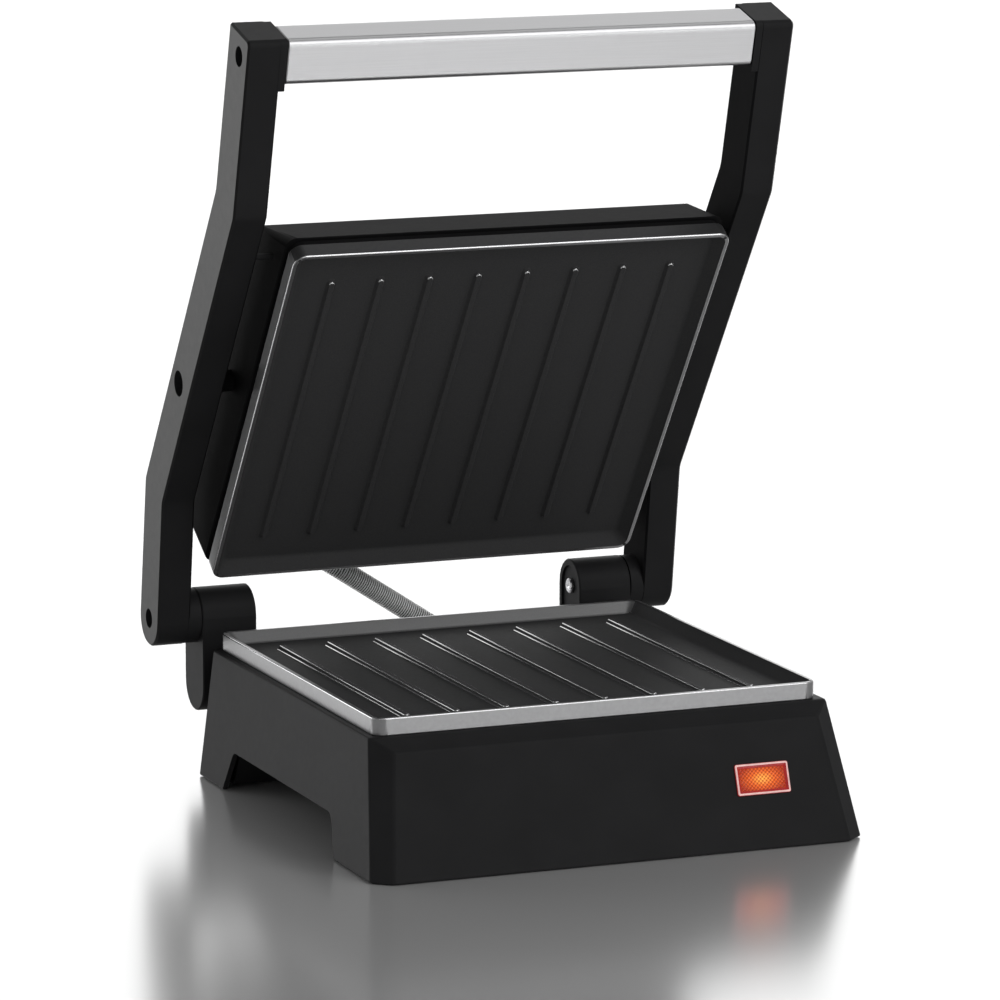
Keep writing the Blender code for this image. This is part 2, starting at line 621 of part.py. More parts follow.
def make_lamp(press):
    """The pilot lamp: a clear cap with a frame, a small neon bulb in it and a body that clips behind."""
    place = lamp_frame()
    cap = box("lamp_lens", (-LAMP_W / 2, -LAMP_H / 2, GAP), (LAMP_W / 2, LAMP_H / 2, LAMP_PROUD))
    press.part(cap, "lens")
    stem_w, stem_h = LAMP_W / 2 - LAMP_BEZEL - GAP, LAMP_H / 2 - LAMP_BEZEL - GAP
    stem = box("lamp_stem", (-stem_w, -stem_h, -LAMP_DEPTH), (stem_w, stem_h, LAMP_PROUD - 0.0003))
    recess = box("lamp_recess", (-stem_w - 0.0001, -stem_h - 0.0001, LAMP_PROUD / 2),
                 (stem_w + 0.0001, stem_h + 0.0001, 0.01))
    hollow = box("lamp_hollow", (-stem_w + LAMP_SKIN, -stem_h + LAMP_SKIN, -2 * LAMP_DEPTH),
                 (stem_w - LAMP_SKIN, stem_h - LAMP_SKIN, -LAMP_SKIN))
    press.join(cap, stem)
    press.cut(cap, recess)
    press.cut(cap, hollow)
    bulb = turned("neon_bulb", [(0, 0.007), (0.0012, 0.0066), (0.0020, 0.005), (0.0020, -0.005),
                                (0.0012, -0.0066), (0, -0.007)], (0, 0, 0), (1, 0, 0), 12, ring=False)
    lying = bulb.rotation_quaternion.to_matrix().to_4x4()
    bulb.matrix_world = place @ Matrix.Translation((0, 0, -LAMP_DEPTH * 0.53)) @ lying
    press.part(bulb, "glass")
    body = box("lamp_body", (-stem_w, -stem_h, -LAMP_BODY_DEPTH), (stem_w, stem_h, -LAMP_DEPTH - GAP))
    press.part(body, "nylon")
    for sign in (-1, 1):
        tab = box(f"lamp_tab_{sign}", (sign * 0.006 - 0.0012, -0.0004, -LAMP_TAB_DEPTH),
                  (sign * 0.006 + 0.0012, 0.0004, 0.0005 - LAMP_BODY_DEPTH))
        press.join(body, tab)
        tab.data.transform(place)
    for obj in (cap, stem, recess, hollow, body):
        obj.data.transform(place)


def make_electrics(press):
    """Thermostat, terminal block and the gland that the mains lead comes in through."""
    lip = Vector((0, LOWER_PLATE_Y, LOWER_LIP_Z))
    can_top = -PLATE_BACK - GAP
    profile = [(0, can_top), (0.0080, can_top), (0.0080, can_top - 0.005), (0.0072, can_top - 0.005),
               (0.0072, can_top - 0.016), (0, can_top - 0.016)]
    thermostat = turned("thermostat", profile, lip, (0, 0, 1), 24, ring=False)
    press.part(thermostat, "ceramic")
    floor = ARCH_TOP + COVER_GAP + COVER_T + GAP
    block = box("terminal_block", (0.030, 0.020, floor), (0.056, 0.036, floor + 0.012))
    press.part(block, "nylon")
    soften(block, 0.0008, 1)
    for index in range(3):
        x = 0.0345 + 0.0085 * index
        well = rod(f"terminal_well_{index}", (x, 0.028, floor + 0.006), (x, 0.028, floor + 0.014), 0.0026, 12)
        press.cut(block, well)
    outside, inside = 0.0020, WALL + 0.0022
    profile = [(GLAND_R, outside), (GLAND_R, GAP), (GLAND_NECK_R, GAP), (GLAND_NECK_R, -WALL - GAP),
               (GLAND_CLIP_R, -WALL - GAP), (GLAND_CLIP_R, -inside), (GLAND_BORE_R, -inside),
               (GLAND_BORE_R, outside)]
    gland = turned("cord_gland", profile, (GLAND_X, BASE_REAR, GLAND_Z), (0, 1, 0), 20)
    press.part(gland, "housing")


# ---------------------------------------------------------------- hinge
def bracket_screw_places():
    middle = (FOOT_BLOCK_IN + FOOT_BLOCK_OUT) / 2
    heights = {"low": FOOT_BLOCK_LOW + 0.007, "high": FOOT_BLOCK_HIGH - 0.007}
    return {f"{side}_{level}": (sign * middle, z)
            for side, sign in SIDES.items() for level, z in heights.items()}


def stadium(radius):
    """The bracket's outline in Y and Z: a tall slot shape with its upper end about the hinge axis."""
    low_centre = (HINGE_Y, BRACKET_BOTTOM + HINGE_R)
    return (arc((HINGE_Y, HINGE_Z), radius, 0, 180, 12) + arc(low_centre, radius, 180, 360, 12))


def make_hinge(press):
    for side, sign in SIDES.items():
        low, high = sorted((sign * BRACKET_IN, sign * BRACKET_OUT))
        bracket = side_solid(f"hinge_bracket_{side}", stadium(HINGE_R), low, high)
        press.part(bracket, "housing")
        soften(bracket, 0.0006, 1, 60)
        foot_low, foot_high = sorted((sign * FOOT_BLOCK_IN, sign * FOOT_BLOCK_OUT))
        foot = box(f"bracket_foot_{side}", (foot_low, BASE_REAR + GAP, FOOT_BLOCK_LOW),
                   (foot_high, HINGE_Y, FOOT_BLOCK_HIGH))
        press.join(bracket, foot)
        within, beyond = sign * (BRACKET_IN - 0.01), sign * (BRACKET_OUT + 0.01)
        inset = side_solid(f"bracket_inset_{side}", stadium(HINGE_R - BRACKET_INSET_EDGE),
                           *sorted((within, sign * (BRACKET_IN + BRACKET_INSET))))
        press.cut(bracket, inset)
        bore = rod(f"bracket_bore_{side}", (within, HINGE_Y, HINGE_Z), (beyond, HINGE_Y, HINGE_Z),
                   BOLT_R + GAP, 16)
        press.cut(bracket, bore)
        seat = rod(f"washer_seat_{side}", (sign * (BRACKET_OUT - SEAT_DEPTH), HINGE_Y, HINGE_Z),
                   (beyond, HINGE_Y, HINGE_Z), SEAT_R)
        press.cut(bracket, seat)
        make_hinge_hardware(press, side, sign)
    for name, (x, z) in bracket_screw_places().items():
        bracket = bpy.data.objects[f"hinge_bracket_{name.split('_')[0]}"]
        tip, head_h = BASE_REAR + 0.0181, 0.0014
        hole = rod(f"screw_hole_{name}", (x, BASE_REAR - GAP, z), (x, tip + 0.003, z), BRACKET_HOLE_R, 12)
        press.cut(bracket, hole)
        screw = screw_solid(f"bracket_screw_{name}", (x, BASE_REAR - WALL - GAP - head_h, z), (x, tip, z),
                            0.0016, 0.0035, head_h)
        press.part(screw, "steel")


def make_hinge_hardware(press, side, sign):
    """A bolt from the bracket's inner end through the arm, its nut, and a wave washer in the joint."""
    axis = (sign, 0, 0)
    head_top = BRACKET_IN + BRACKET_INSET - GAP - BOLT_HEAD_H
    bolt = screw_solid(f"hinge_bolt_{side}", (sign * head_top, HINGE_Y, HINGE_Z),
                       (sign * BOLT_TIP, HINGE_Y, HINGE_Z), BOLT_R, BOLT_HEAD_R, BOLT_HEAD_H)
    press.part(bolt, "steel")
    washer_low = BRACKET_OUT - SEAT_DEPTH + GAP
    profile = [(WASHER_R, WASHER_T), (WASHER_R, 0), (WASHER_BORE, 0), (WASHER_BORE, WASHER_T)]
    washer = turned(f"hinge_washer_{side}", profile, (sign * washer_low, HINGE_Y, HINGE_Z), axis, 24)
    press.part(washer, "steel")
    nut = rod(f"hinge_nut_{side}", (sign * NUT_LOW, HINGE_Y, HINGE_Z), (sign * NUT_HIGH, HINGE_Y, HINGE_Z),
              NUT_R, 6)
    press.part(nut, "steel")
    press.cut(nut, rod(f"nut_bore_{side}", (sign * (NUT_LOW - 0.01), HINGE_Y, HINGE_Z),
                       (sign * (NUT_HIGH + 0.01), HINGE_Y, HINGE_Z), BOLT_R + GAP / 2, 16))


# ---------------------------------------------------------------- lid: arms and handle
def nose_frame():
    """The arm's front end as a frame in Y and Z: its lower front corner, and the two directions there."""
    along = Vector((math.cos(ARM_NOSE_ANGLE), -math.sin(ARM_NOSE_ANGLE)))   # towards the hinge
    across = Vector((math.sin(ARM_NOSE_ANGLE), math.cos(ARM_NOSE_ANGLE)))   # towards the lid's back
    corner = Vector((ARM_KINK_FRONT, ARM_LOW)) - along * ARM_NOSE_LENGTH
    return corner, along, across


def tangent_angle(point, radius, side):
    """The angle at which a line from a point touches a circle about the hinge axis, in degrees."""
    return math.degrees(math.atan2(point[1], point[0]) + side * math.acos(radius / math.hypot(*point)))


def arm_outline():
    corner, along, across = nose_frame()
    kink_shift = ARM_WIDTH * math.tan(ARM_NOSE_ANGLE / 2)
    knee_low, knee_top = (ARM_KINK_REAR, ARM_LOW), ARM_KNEE_TOP
    body = [corner, (ARM_KINK_FRONT, ARM_LOW), knee_low]
    back = [knee_top, (ARM_KINK_FRONT + kink_shift, ARM_LOW + ARM_WIDTH), corner + across * ARM_WIDTH]
    start, end = tangent_angle(knee_low, HINGE_R, 1), tangent_angle(knee_top, HINGE_R, -1)
    round_end = arc((0, 0), HINGE_R, start, end + 360 if end < start else end, 16)
    points = body + round_end + back
    radii = [0.0030, 0.010, 0.010] + [0] * len(round_end) + [0.012, 0.016, 0.0010]
    return rounded(points, radii, 4)


def handle_frame():
    """The middle of the handle's section in Y and Z, and the directions of its depth and height."""
    corner, along, across = nose_frame()
    return corner + along * HANDLE_TALL / 2 + across * HANDLE_DEEP / 2, along, across


def handle_section(shrink, radius):
    """A rounded section, placed in Y and Z at the arms' front end."""
    middle, along, across = handle_frame()
    flat = rounded_rectangle(HANDLE_TALL - 2 * shrink, HANDLE_DEEP - 2 * shrink, radius, 4)
    return [tuple(middle + along * a + across * b) for a, b in flat]


def make_arms(press):
    corner, along, across = nose_frame()
    middle = handle_frame()[0]
    for side, sign in SIDES.items():
        low, high = sorted((sign * ARM_IN, sign * ARM_OUT))
        arm = side_solid(f"arm_{side}", arm_outline(), low, high)
        press.part(arm, "housing", press.lid)
        soften(arm, 0.0010, 1, 50)
        root, reach, step = sign * (ARM_IN + ARM_ROOT), along * (HANDLE_TALL + BLOCK_REACH), across * 0.0002
        top = across * (ARM_WIDTH - 0.0006)
        block_corners = [corner + step, corner + reach + step, corner + reach + top, corner + top]
        block = side_solid(f"arm_block_{side}", rounded(block_corners, [0.003, 0.0005, 0.0005, 0.0010]),
                           *sorted((sign * BLOCK_IN, root)))
        press.join(arm, block)
        press.join(arm, rod(f"arm_boss_{side}", (sign * BOSS_IN, 0, 0), (root, 0, 0), HINGE_R - 0.0002, 32))
        peg = rod(f"stop_peg_{side}", (sign * STOP_PEG_IN, STOP_PEG_Y, STOP_PEG_Z),
                  (root, STOP_PEG_Y, STOP_PEG_Z), STOP_PEG_R, 12)
        press.join(arm, peg)
        places = {"handle": tuple(middle), "pivot": (PIVOT_Y, PIVOT_Z), "hinge": (0, 0)}
        outside, inside = sign * (ARM_OUT + 0.008), sign * (BOSS_IN - 0.008)
        for name, (wide, depth, narrow) in ARM_WELLS.items():
            y, z = places[name]
            press.cut(arm, rod(f"{name}_well_{side}", (sign * (ARM_OUT - depth), y, z), (outside, y, z), wide))
            press.cut(arm, rod(f"{name}_bore_{side}", (inside, y, z), (outside, y, z), narrow, 16))


def make_handle(press):
    bar = side_solid("handle_tube", handle_section(0, HANDLE_ROUND), -HANDLE_HALF, HANDLE_HALF)
    press.part(bar, "handle", press.lid)
    hollow = handle_section(HANDLE_WALL, HOLLOW_ROUND)
    press.cut(bar, side_solid("handle_hollow", hollow, -HANDLE_HALF - 0.01, HANDLE_HALF + 0.01))
    middle = handle_frame()[0]
    for side, sign in SIDES.items():
        low, high = sorted((sign * PLUG_IN, sign * HANDLE_HALF))
        plug = side_solid(f"handle_plug_{side}", handle_section(HANDLE_WALL + GAP, PLUG_ROUND), low, high)
        press.part(plug, "nylon", press.lid)
        press.cut(plug, rod(f"plug_bore_{side}", (sign * (PLUG_IN - 0.008), *middle),
                            (sign * (HANDLE_HALF + 0.008), *middle), PLUG_BORE_R, 14))
        screw = screw_solid(f"handle_screw_{side}", (sign * (ARM_OUT - 0.0108), *middle),
                            (sign * 0.1070, *middle), 0.0019, 0.0040, 0.0019)
        press.part(screw, "steel", press.lid)
        pivot = screw_solid(f"pivot_screw_{side}", (sign * (ARM_OUT - 0.0090), PIVOT_Y, PIVOT_Z),
                            (sign * 0.1085, PIVOT_Y, PIVOT_Z), PIVOT_SCREW_R, 0.0058, 0.0026)
        press.part(pivot, "steel", press.lid)


# ---------------------------------------------------------------- upper grill
def case_corners(inset, lip, back):
    """Points round the upper case in the plate frame, from its open edge to its flat back."""
    edge = Vector((CASE_HALF_EDGE, CASE_FRONT_EDGE, CASE_CORNER_EDGE))
    far = Vector((CASE_HALF_BACK, CASE_FRONT_BACK, CASE_CORNER_BACK))
    share = (CASE_BREAK - CASE_LIP) / (CASE_BACK - CASE_LIP)
    points = []
    for depth, hinge_end, (half, front, corner) in (
            (lip, CASE_HINGE_END, edge), (CASE_BREAK - inset * 0.4, CASE_HINGE_END, edge.lerp(far, share)),
            (back, CASE_HINGE_BACK, far)):
        radius = max(corner - inset, 0.0006)
        side, front_end = half - inset - radius, front - inset * 1.2 - radius
        points += at_height(arc((side, front_end), radius, 0, 90, 4), -depth)
        points += at_height(arc((side, hinge_end + inset + radius), radius, 270, 360, 4), -depth)
    return mirrored(points)


def make_case(press):
    case = hull("upper_cover", case_corners(0.0, CASE_LIP, CASE_BACK))
    press.part(case, "housing", press.upper)
    soften(case, 0.0010)
    press.cut(case, hull("case_hollow", case_corners(CASE_WALL, CASE_LIP - 0.004, CASE_BACK - CASE_WALL)))
    pivot_y, pivot_z = UPPER_PLATE_Y - PIVOT_Y, UPPER_LIP_Z - PIVOT_Z
    for side, sign in SIDES.items():
        boss = rod(f"pivot_boss_{side}", (sign * 0.1040, pivot_y, pivot_z),
                   (sign * (ARM_IN - GAP), pivot_y, pivot_z), PIVOT_BOSS_R, 24)
        bore = rod(f"pivot_hole_{side}", (sign * 0.1070, pivot_y, pivot_z),
                   (sign * 0.130, pivot_y, pivot_z), PIVOT_SCREW_R + GAP, 16)
        press.join(case, boss)
        press.cut(case, bore)
        for end, y in (("front", GRILL_SCREW_Y), ("rear", -GRILL_SCREW_Y)):
            x, tag = sign * GRILL_SCREW_X, f"{end}_{side}"
            root = CASE_BACK - (0.0040 if y > 0 else 0.0010)
            press.join(case, rod(f"case_post_{tag}", (x, y, -CASE_POST_FOOT), (x, y, -root), CASE_POST_R, 14))
            press.cut(case, rod(f"case_post_hole_{tag}", (x, y, -0.0140), (x, y, -0.0260), POST_HOLE_R, 12))
            screw = screw_solid(f"grill_screw_{tag}", (x, y, -0.0107), (x, y, -0.0240), 0.0014, 0.0028, 0.0012)
            press.part(screw, "steel", press.upper)
    end = Vector((CONDUIT_TOP_X, CASE_HINGE_END, -CONDUIT_TOP_BACK))
    press.cut(case, rod("conduit_exit", end - Vector((0, 0.006, 0)), end + Vector((0, 0.006, 0)),
                        CONDUIT_HOLE_R))
    return case


def make_neck(press):
    """The ring between the plate and the case, with a tab for a screw at each corner."""
    outline = rounded_rectangle(2 * NECK_HALF_W, 2 * NECK_HALF_D, 0.006, 3)
    neck = flat_solid("upper_frame", outline, -CASE_LIP + GAP, -RIM_H - GAP)
    press.part(neck, "housing", press.upper)
    skirt = box("neck_skirt", (-SKIRT_HALF_W, SKIRT_REAR, SKIRT_LOW), (SKIRT_HALF_W, SKIRT_FRONT, SKIRT_HIGH))
    press.join(neck, skirt)
    inner_w, inner_d = BACK_W / 2 + GAP, BACK_D / 2 + GAP
    press.cut(neck, box("neck_opening", (-inner_w, -inner_d, -0.03), (inner_w, inner_d, 0)))
    for side, sign in SIDES.items():
        for end, way in (("front", 1), ("rear", -1)):
            tag = f"{end}_{side}"
            x_low, x_high = sorted((sign * TAB_X, sign * (inner_w + 0.001)))
            y_low, y_high = sorted((way * TAB_Y, way * (inner_d + 0.001)))
            press.join(neck, box(f"neck_tab_{tag}", (x_low, y_low, TAB_LOW), (x_high, y_high, TAB_HIGH)))
            place = (sign * GRILL_SCREW_X, way * GRILL_SCREW_Y)
            press.cut(neck, rod(f"neck_hole_{tag}", (*place, -0.010), (*place, -0.020), POST_HOLE_R, 12))
    return neck


# ---------------------------------------------------------------- conduit
def make_conduit(press):
    """The spiral guard that carries the wires across the hinge, and its ferrule at each end."""
    route = smooth_route(CONDUIT_POINTS, 0.006)
    press.part(tube("conduit_spring", route, CONDUIT_R), "steel")
    outer, inner = 0.0016, -0.0045        # how far the ferrule stands out of its wall, and how far in
    ferrule = [(FERRULE_R, outer), (FERRULE_R, GAP), (FERRULE_NECK_R, GAP), (FERRULE_NECK_R, inner),
               (FERRULE_BORE_R, inner), (FERRULE_BORE_R, outer)]
    lower = turned("conduit_ferrule_lower", ferrule, (CONDUIT_LOW_X, BASE_REAR, CONDUIT_LOW_Z), (0, 1, 0), 16)
    press.part(lower, "steel")
    upper = turned("conduit_ferrule_upper", ferrule, (CONDUIT_TOP_X, CASE_HINGE_END, -CONDUIT_TOP_BACK),
                   (0, -1, 0), 16)
    press.part(upper, "steel", press.upper)


def main():
    clear_scene()
    press = Press()
    make_base_shell(press)
    make_bottom_cover(press)
    make_bottom_screws(press)
    make_feet(press)
    make_lamp(press)
    make_electrics(press)
    make_hinge(press)
    make_arms(press)
    make_handle(press)
    make_case(press)
    make_neck(press)
    for level, frame in (("lower", press.lower), ("upper", press.upper)):
        make_plate(press, f"{level}_plate", frame)
        make_heater(press, f"{level}_heater", frame)
        make_reflector(press, f"{level}_reflector", frame)
        make_fuse(press, f"{level}_thermal_fuse", frame)
    make_conduit(press)


main()
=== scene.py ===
import json
import math

import bmesh
import bpy
from mathutils import Matrix, Vector
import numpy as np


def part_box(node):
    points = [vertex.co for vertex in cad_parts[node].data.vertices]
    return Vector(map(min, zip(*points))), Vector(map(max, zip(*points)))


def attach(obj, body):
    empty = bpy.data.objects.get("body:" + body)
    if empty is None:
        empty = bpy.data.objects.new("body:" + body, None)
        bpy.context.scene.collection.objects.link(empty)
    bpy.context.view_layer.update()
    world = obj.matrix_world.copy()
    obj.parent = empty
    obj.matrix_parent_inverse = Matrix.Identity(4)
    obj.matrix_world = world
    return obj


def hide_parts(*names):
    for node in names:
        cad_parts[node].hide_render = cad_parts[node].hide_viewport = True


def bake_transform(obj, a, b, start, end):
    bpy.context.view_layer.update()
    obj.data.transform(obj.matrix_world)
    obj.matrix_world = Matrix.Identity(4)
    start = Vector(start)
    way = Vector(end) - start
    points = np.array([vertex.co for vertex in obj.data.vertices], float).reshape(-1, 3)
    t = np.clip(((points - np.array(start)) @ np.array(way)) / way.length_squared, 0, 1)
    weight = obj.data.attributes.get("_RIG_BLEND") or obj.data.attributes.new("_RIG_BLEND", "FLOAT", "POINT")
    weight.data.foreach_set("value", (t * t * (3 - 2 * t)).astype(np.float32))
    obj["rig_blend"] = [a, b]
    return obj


# Looks of the panini press, in metres in the object's own frame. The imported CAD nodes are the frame:
# the visible ones are stood in for by finer pieces, and the rest keep their mesh and get a material.
# Pieces of the lid are made in the closed lid's frame, whose origin is on the hinge axis. A grill plate
# is made in a plate frame: origin at the middle of its lip, +Z out of the tray.

SIDES = {"left": -1, "right": 1}

# Camera: its azimuth from straight in front, and the point that it looks at
CAMERA_AZIMUTH, CAMERA_ELEVATION = math.radians(-21.94), math.radians(10.21)
CAMERA_TARGET, CAMERA_DISTANCE = (-0.0043, -0.0008, 0.1510), 2.8436
CAMERA_LENS = 207.3                      # on a sensor 36 mm wide

# Studio: the world's strength behind the press and overhead, the share of it that is left in front, and
# how metallic the floor is. BRIGHT_TURN is from the camera's direction round to the brightest one.
BEHIND, OVERHEAD, IN_FRONT, FLOOR_SHINE = 1.45, 0.42, 0.26, 0.56
BRIGHT_TURN = math.radians(-2)

# Grill plates: the rim, the tray, the back and the ribs
PLATE_W, PLATE_D, PLATE_CORNER = 0.230, 0.222, 0.0065
RIM_H, LIP, EDGE = 0.0085, 0.0020, 0.0005
TRAY_DEPTH, TRAY_DRAFT, TRAY_FOOT, FOOT_STEPS = 0.0060, 0.0050, 0.0028, 8
TRAY_CORNER, LEAST_CORNER = 0.0095, 0.0012
PLATE_BACK, BACK_W, BACK_D = 0.0098, 0.206, 0.198
RIB_COUNT, RIB_PITCH, RIB_LENGTH = 8, 0.02567, 0.178
RIB_BASE, RIB_CREST, RIB_H, RIB_FILLET = 0.0042, 0.0024, 0.0018, 0.0005
RIB_MARGIN = 0.0150                       # all the ribs are farther than this from the plate's edge
UPPER_PLATE_Y, UPPER_LIP_Z = -0.1389, -0.0020

# Handle, in the closed lid's frame
NOSE_CORNER_Y, NOSE_CORNER_Z, NOSE_ANGLE = -0.3433, 0.0486, math.radians(19.8)
HANDLE_DEEP, HANDLE_TALL, HANDLE_WALL, HANDLE_RADIUS = 0.0236, 0.0231, 0.0020, 0.0038

# Pilot lamp, on the sloping front face
LAMP_X, LAMP_Z, LAMP_W, LAMP_H, LAMP_BEZEL = 0.0761, 0.0325, 0.0280, 0.0153, 0.0019
LAMP_PITCH = 0.0020                       # between the lens's diamonds
LAMP_TOP, LAMP_LOW, LAMP_GAP, LAMP_DEEP = 0.0012, 0.0005, 0.0003, 0.009
PANEL_RELIEF, PANEL_T, PANEL_STEPS = 0.00030, 0.0008, 10
GLOW_W, GLOW_H = 0.0125, 0.0072           # from the bulb to where the glow has faded
FRONT_FOOT_Y, FRONT_LEAN = -0.1503, math.atan2(0.0214, 0.0587)

# Conduit, as it lies with the lid at rest
CONDUIT_R, CONDUIT_WIRE, CONDUIT_TURN, CONDUIT_STEP = 0.0055, 0.00042, 0.00125, 0.002
CONDUIT_POINTS = (
    (-0.0500, 0.1377, 0.1099), (-0.0498, 0.1399, 0.1068), (-0.0478, 0.1417, 0.1016),
    (-0.0420, 0.1417, 0.0971), (-0.0339, 0.1404, 0.0918), (-0.0155, 0.1396, 0.0796),
    (0.0033, 0.1386, 0.0671), (0.0165, 0.1364, 0.0584), (0.0265, 0.1308, 0.0525),
    (0.0330, 0.1220, 0.0494), (0.0356, 0.1120, 0.0482), (0.0360, 0.1050, 0.0480),
)


# ---------------------------------------------------------------- frame
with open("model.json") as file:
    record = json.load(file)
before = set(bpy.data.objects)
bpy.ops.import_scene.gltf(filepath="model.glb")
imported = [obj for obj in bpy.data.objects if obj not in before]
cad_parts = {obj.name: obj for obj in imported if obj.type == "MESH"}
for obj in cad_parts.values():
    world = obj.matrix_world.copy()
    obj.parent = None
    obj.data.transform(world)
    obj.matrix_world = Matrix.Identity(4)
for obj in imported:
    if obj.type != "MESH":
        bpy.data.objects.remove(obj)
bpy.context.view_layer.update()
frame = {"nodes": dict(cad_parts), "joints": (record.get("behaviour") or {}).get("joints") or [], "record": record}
BODY_OF = {node: body for body, nodes in frame["record"]["behaviour"]["bodies"].items() for node in nodes}
SLOT_OF = {row["node"]: row["material_slot"] for row in frame["record"]["subparts"]}


def lid_frame():
    """The closed lid's frame, swung open to where the lid stands at rest."""
    hinge = next(joint for joint in frame["joints"] if joint["name"] == "lid_hinge")
    swing = Matrix.Rotation(math.radians(hinge["range_deg"][0]), 4, "X")
    return Matrix.Translation(hinge["pos_m"]) @ swing


def lower_plate_frame():
    low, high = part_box("lower_plate")
    return Matrix.Translation((0, (low.y + high.y) / 2, high.z))


def upper_plate_frame():
    place = Matrix.Translation((0, UPPER_PLATE_Y, UPPER_LIP_Z))
    return lid_frame() @ place @ Matrix.Rotation(math.pi, 4, "X")


def lamp_frame():
    """X across the front face, Y up its slope, Z out of it."""
    place = Vector((LAMP_X, FRONT_FOOT_Y + math.tan(FRONT_LEAN) * LAMP_Z, LAMP_Z))
    return Matrix.Translation(place) @ Matrix.Rotation(math.pi / 2 - FRONT_LEAN, 4, "X")


# ---------------------------------------------------------------- mesh tools
def new_object(name, bm, place=Matrix()):
    bmesh.ops.recalc_face_normals(bm, faces=bm.faces)
    mesh = bpy.data.meshes.new(name)
    bm.to_mesh(mesh)
    bm.free()
    mesh.transform(place)
    made = bpy.data.objects.new(name, mesh)
    bpy.context.scene.collection.objects.link(made)
    return made


def arc(centre, radius, start, end, steps):
    """Points on an arc of a plane curve, angles in degrees."""
    turns = [math.radians(start + (end - start) * i / steps) for i in range(steps + 1)]
    return [(centre[0] + radius * math.cos(t), centre[1] + radius * math.sin(t)) for t in turns]


def rounded_rectangle(width, depth, radius, steps=10):
    half_w, half_d = width / 2 - radius, depth / 2 - radius
    corners = ((half_w, half_d, 0), (-half_w, half_d, 90), (-half_w, -half_d, 180), (half_w, -half_d, 270))
    return [p for x, y, turn in corners for p in arc((x, y), radius, turn, turn + 90, steps)]


def at_height(outline, z):
    return [(x, y, z) for x, y in outline]


def loft(loops, closed=False, caps=True):
    """A skin through loops of equal length, closed onto its first loop or capped at both ends."""
    bm = bmesh.new()
    rings = [[bm.verts.new(point) for point in loop] for loop in loops]
    pairs = list(zip(rings, rings[1:])) + ([(rings[-1], rings[0])] if closed else [])
    for lower, upper in pairs:
        for i, vert in enumerate(lower):
            bm.faces.new((lower[i - 1], vert, upper[i], upper[i - 1]))
    if caps and not closed:
        bm.faces.new(rings[0])
        bm.faces.new(rings[-1])
    return bm


def apply_modifiers(obj):
    graph = bpy.context.evaluated_depsgraph_get()
    mesh = bpy.data.meshes.new_from_object(obj.evaluated_get(graph))
    obj.modifiers.clear()
    obj.data = mesh


def combine(obj, tool, operation):
    """Cut the tool away from the object, or join it on, and remove the tool."""
    step = obj.modifiers.new(operation.lower(), "BOOLEAN")
    step.operation = operation
    step.object = tool
    apply_modifiers(obj)
    bpy.data.objects.remove(tool, do_unlink=True)


def shade(obj, angle=35, flat_area=0.0002):
    """Smooth shading over the rounded edges, with the large flat faces kept flat."""
    obj.data.shade_smooth()
    obj.data.set_sharp_from_angle(angle=math.radians(angle))
    for face in obj.data.polygons:
        face.use_smooth = face.area < flat_area
    weighted = obj.modifiers.new("flat_faces", "WEIGHTED_NORMAL")
    weighted.keep_sharp = True
    return obj


def stand_for(obj, node, *materials):
    """Ride with the node's body in its place, in the finish of its slot."""
    for material in materials:
        obj.data.materials.append(material)
    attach(obj, BODY_OF[node])
    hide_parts(node)
    return obj


def refined(node, width, segments=3, angle=40):
    """The CAD node's own shape with its hard edges rounded. An arm's three sets of faces differ in shine; the
    duller one on its inward faces is painted shade.
    """
    bm = bmesh.new()
    bm.from_mesh(frame["nodes"][node].data)
    bmesh.ops.remove_doubles(bm, verts=bm.verts, dist=0.000002)
    bmesh.ops.dissolve_limit(bm, angle_limit=math.radians(0.4), verts=bm.verts, edges=bm.edges)
    made = new_object(f"{node}_fine", bm)
    for attribute in [a for a in made.data.attributes if a.name == "custom_normal"]:
        made.data.attributes.remove(attribute)
    bevel = made.modifiers.new("rounded_edges", "BEVEL")
    bevel.width = width
    bevel.segments = segments
    bevel.limit_method = "ANGLE"
    bevel.angle_limit = math.radians(angle)
    bevel.miter_outer = "MITER_ARC"
    shade(made, 50)
    plain = MATERIALS[SLOT_OF[node]]
    finish = MOULDINGS.get(node.split("_")[0], plain)
    # painted shade: an arm's inward faces take the duller case moulding, to look darker than its other faces
    if node.startswith("arm"):
        outward = SIDES[node.split("_")[1]]
        for face in made.data.polygons:
            turned = face.normal.x * outward
            face.material_index = 0 if turned > 0.3 else 1 if turned < -0.3 else 2
        return stand_for(made, node, finish, MOULDINGS["upper"], plain)
    return stand_for(made, node, finish)


# ---------------------------------------------------------------- materials
def principled(name, colour, roughness, metallic=0.0, **more):
    made = bpy.data.materials.new(name)
    made.use_nodes = True
    shader = made.node_tree.nodes["Principled BSDF"]
    shader.inputs["Base Color"].default_value = (*colour, 1.0)
    shader.inputs["Roughness"].default_value = roughness
    shader.inputs["Metallic"].default_value = metallic
    for socket, value in more.items():
        shader.inputs[socket.replace("_", " ")].default_value = value
    return made, made.node_tree, shader


def noise(tree, size, stretch=(1, 1, 1), detail=3.0):
    """Noise with features of a given size in metres, drawn out along the axes where stretch is small."""
    coordinates = tree.nodes.new("ShaderNodeTexCoord")
    mapping = tree.nodes.new("ShaderNodeMapping")
    mapping.inputs["Scale"].default_value = stretch
    texture = tree.nodes.new("ShaderNodeTexNoise")
    texture.inputs["Scale"].default_value = 1 / size
    texture.inputs["Detail"].default_value = detail
    tree.links.new(coordinates.outputs["Object"], mapping.inputs["Vector"])
    tree.links.new(mapping.outputs["Vector"], texture.inputs["Vector"])
    return texture.outputs["Fac"]


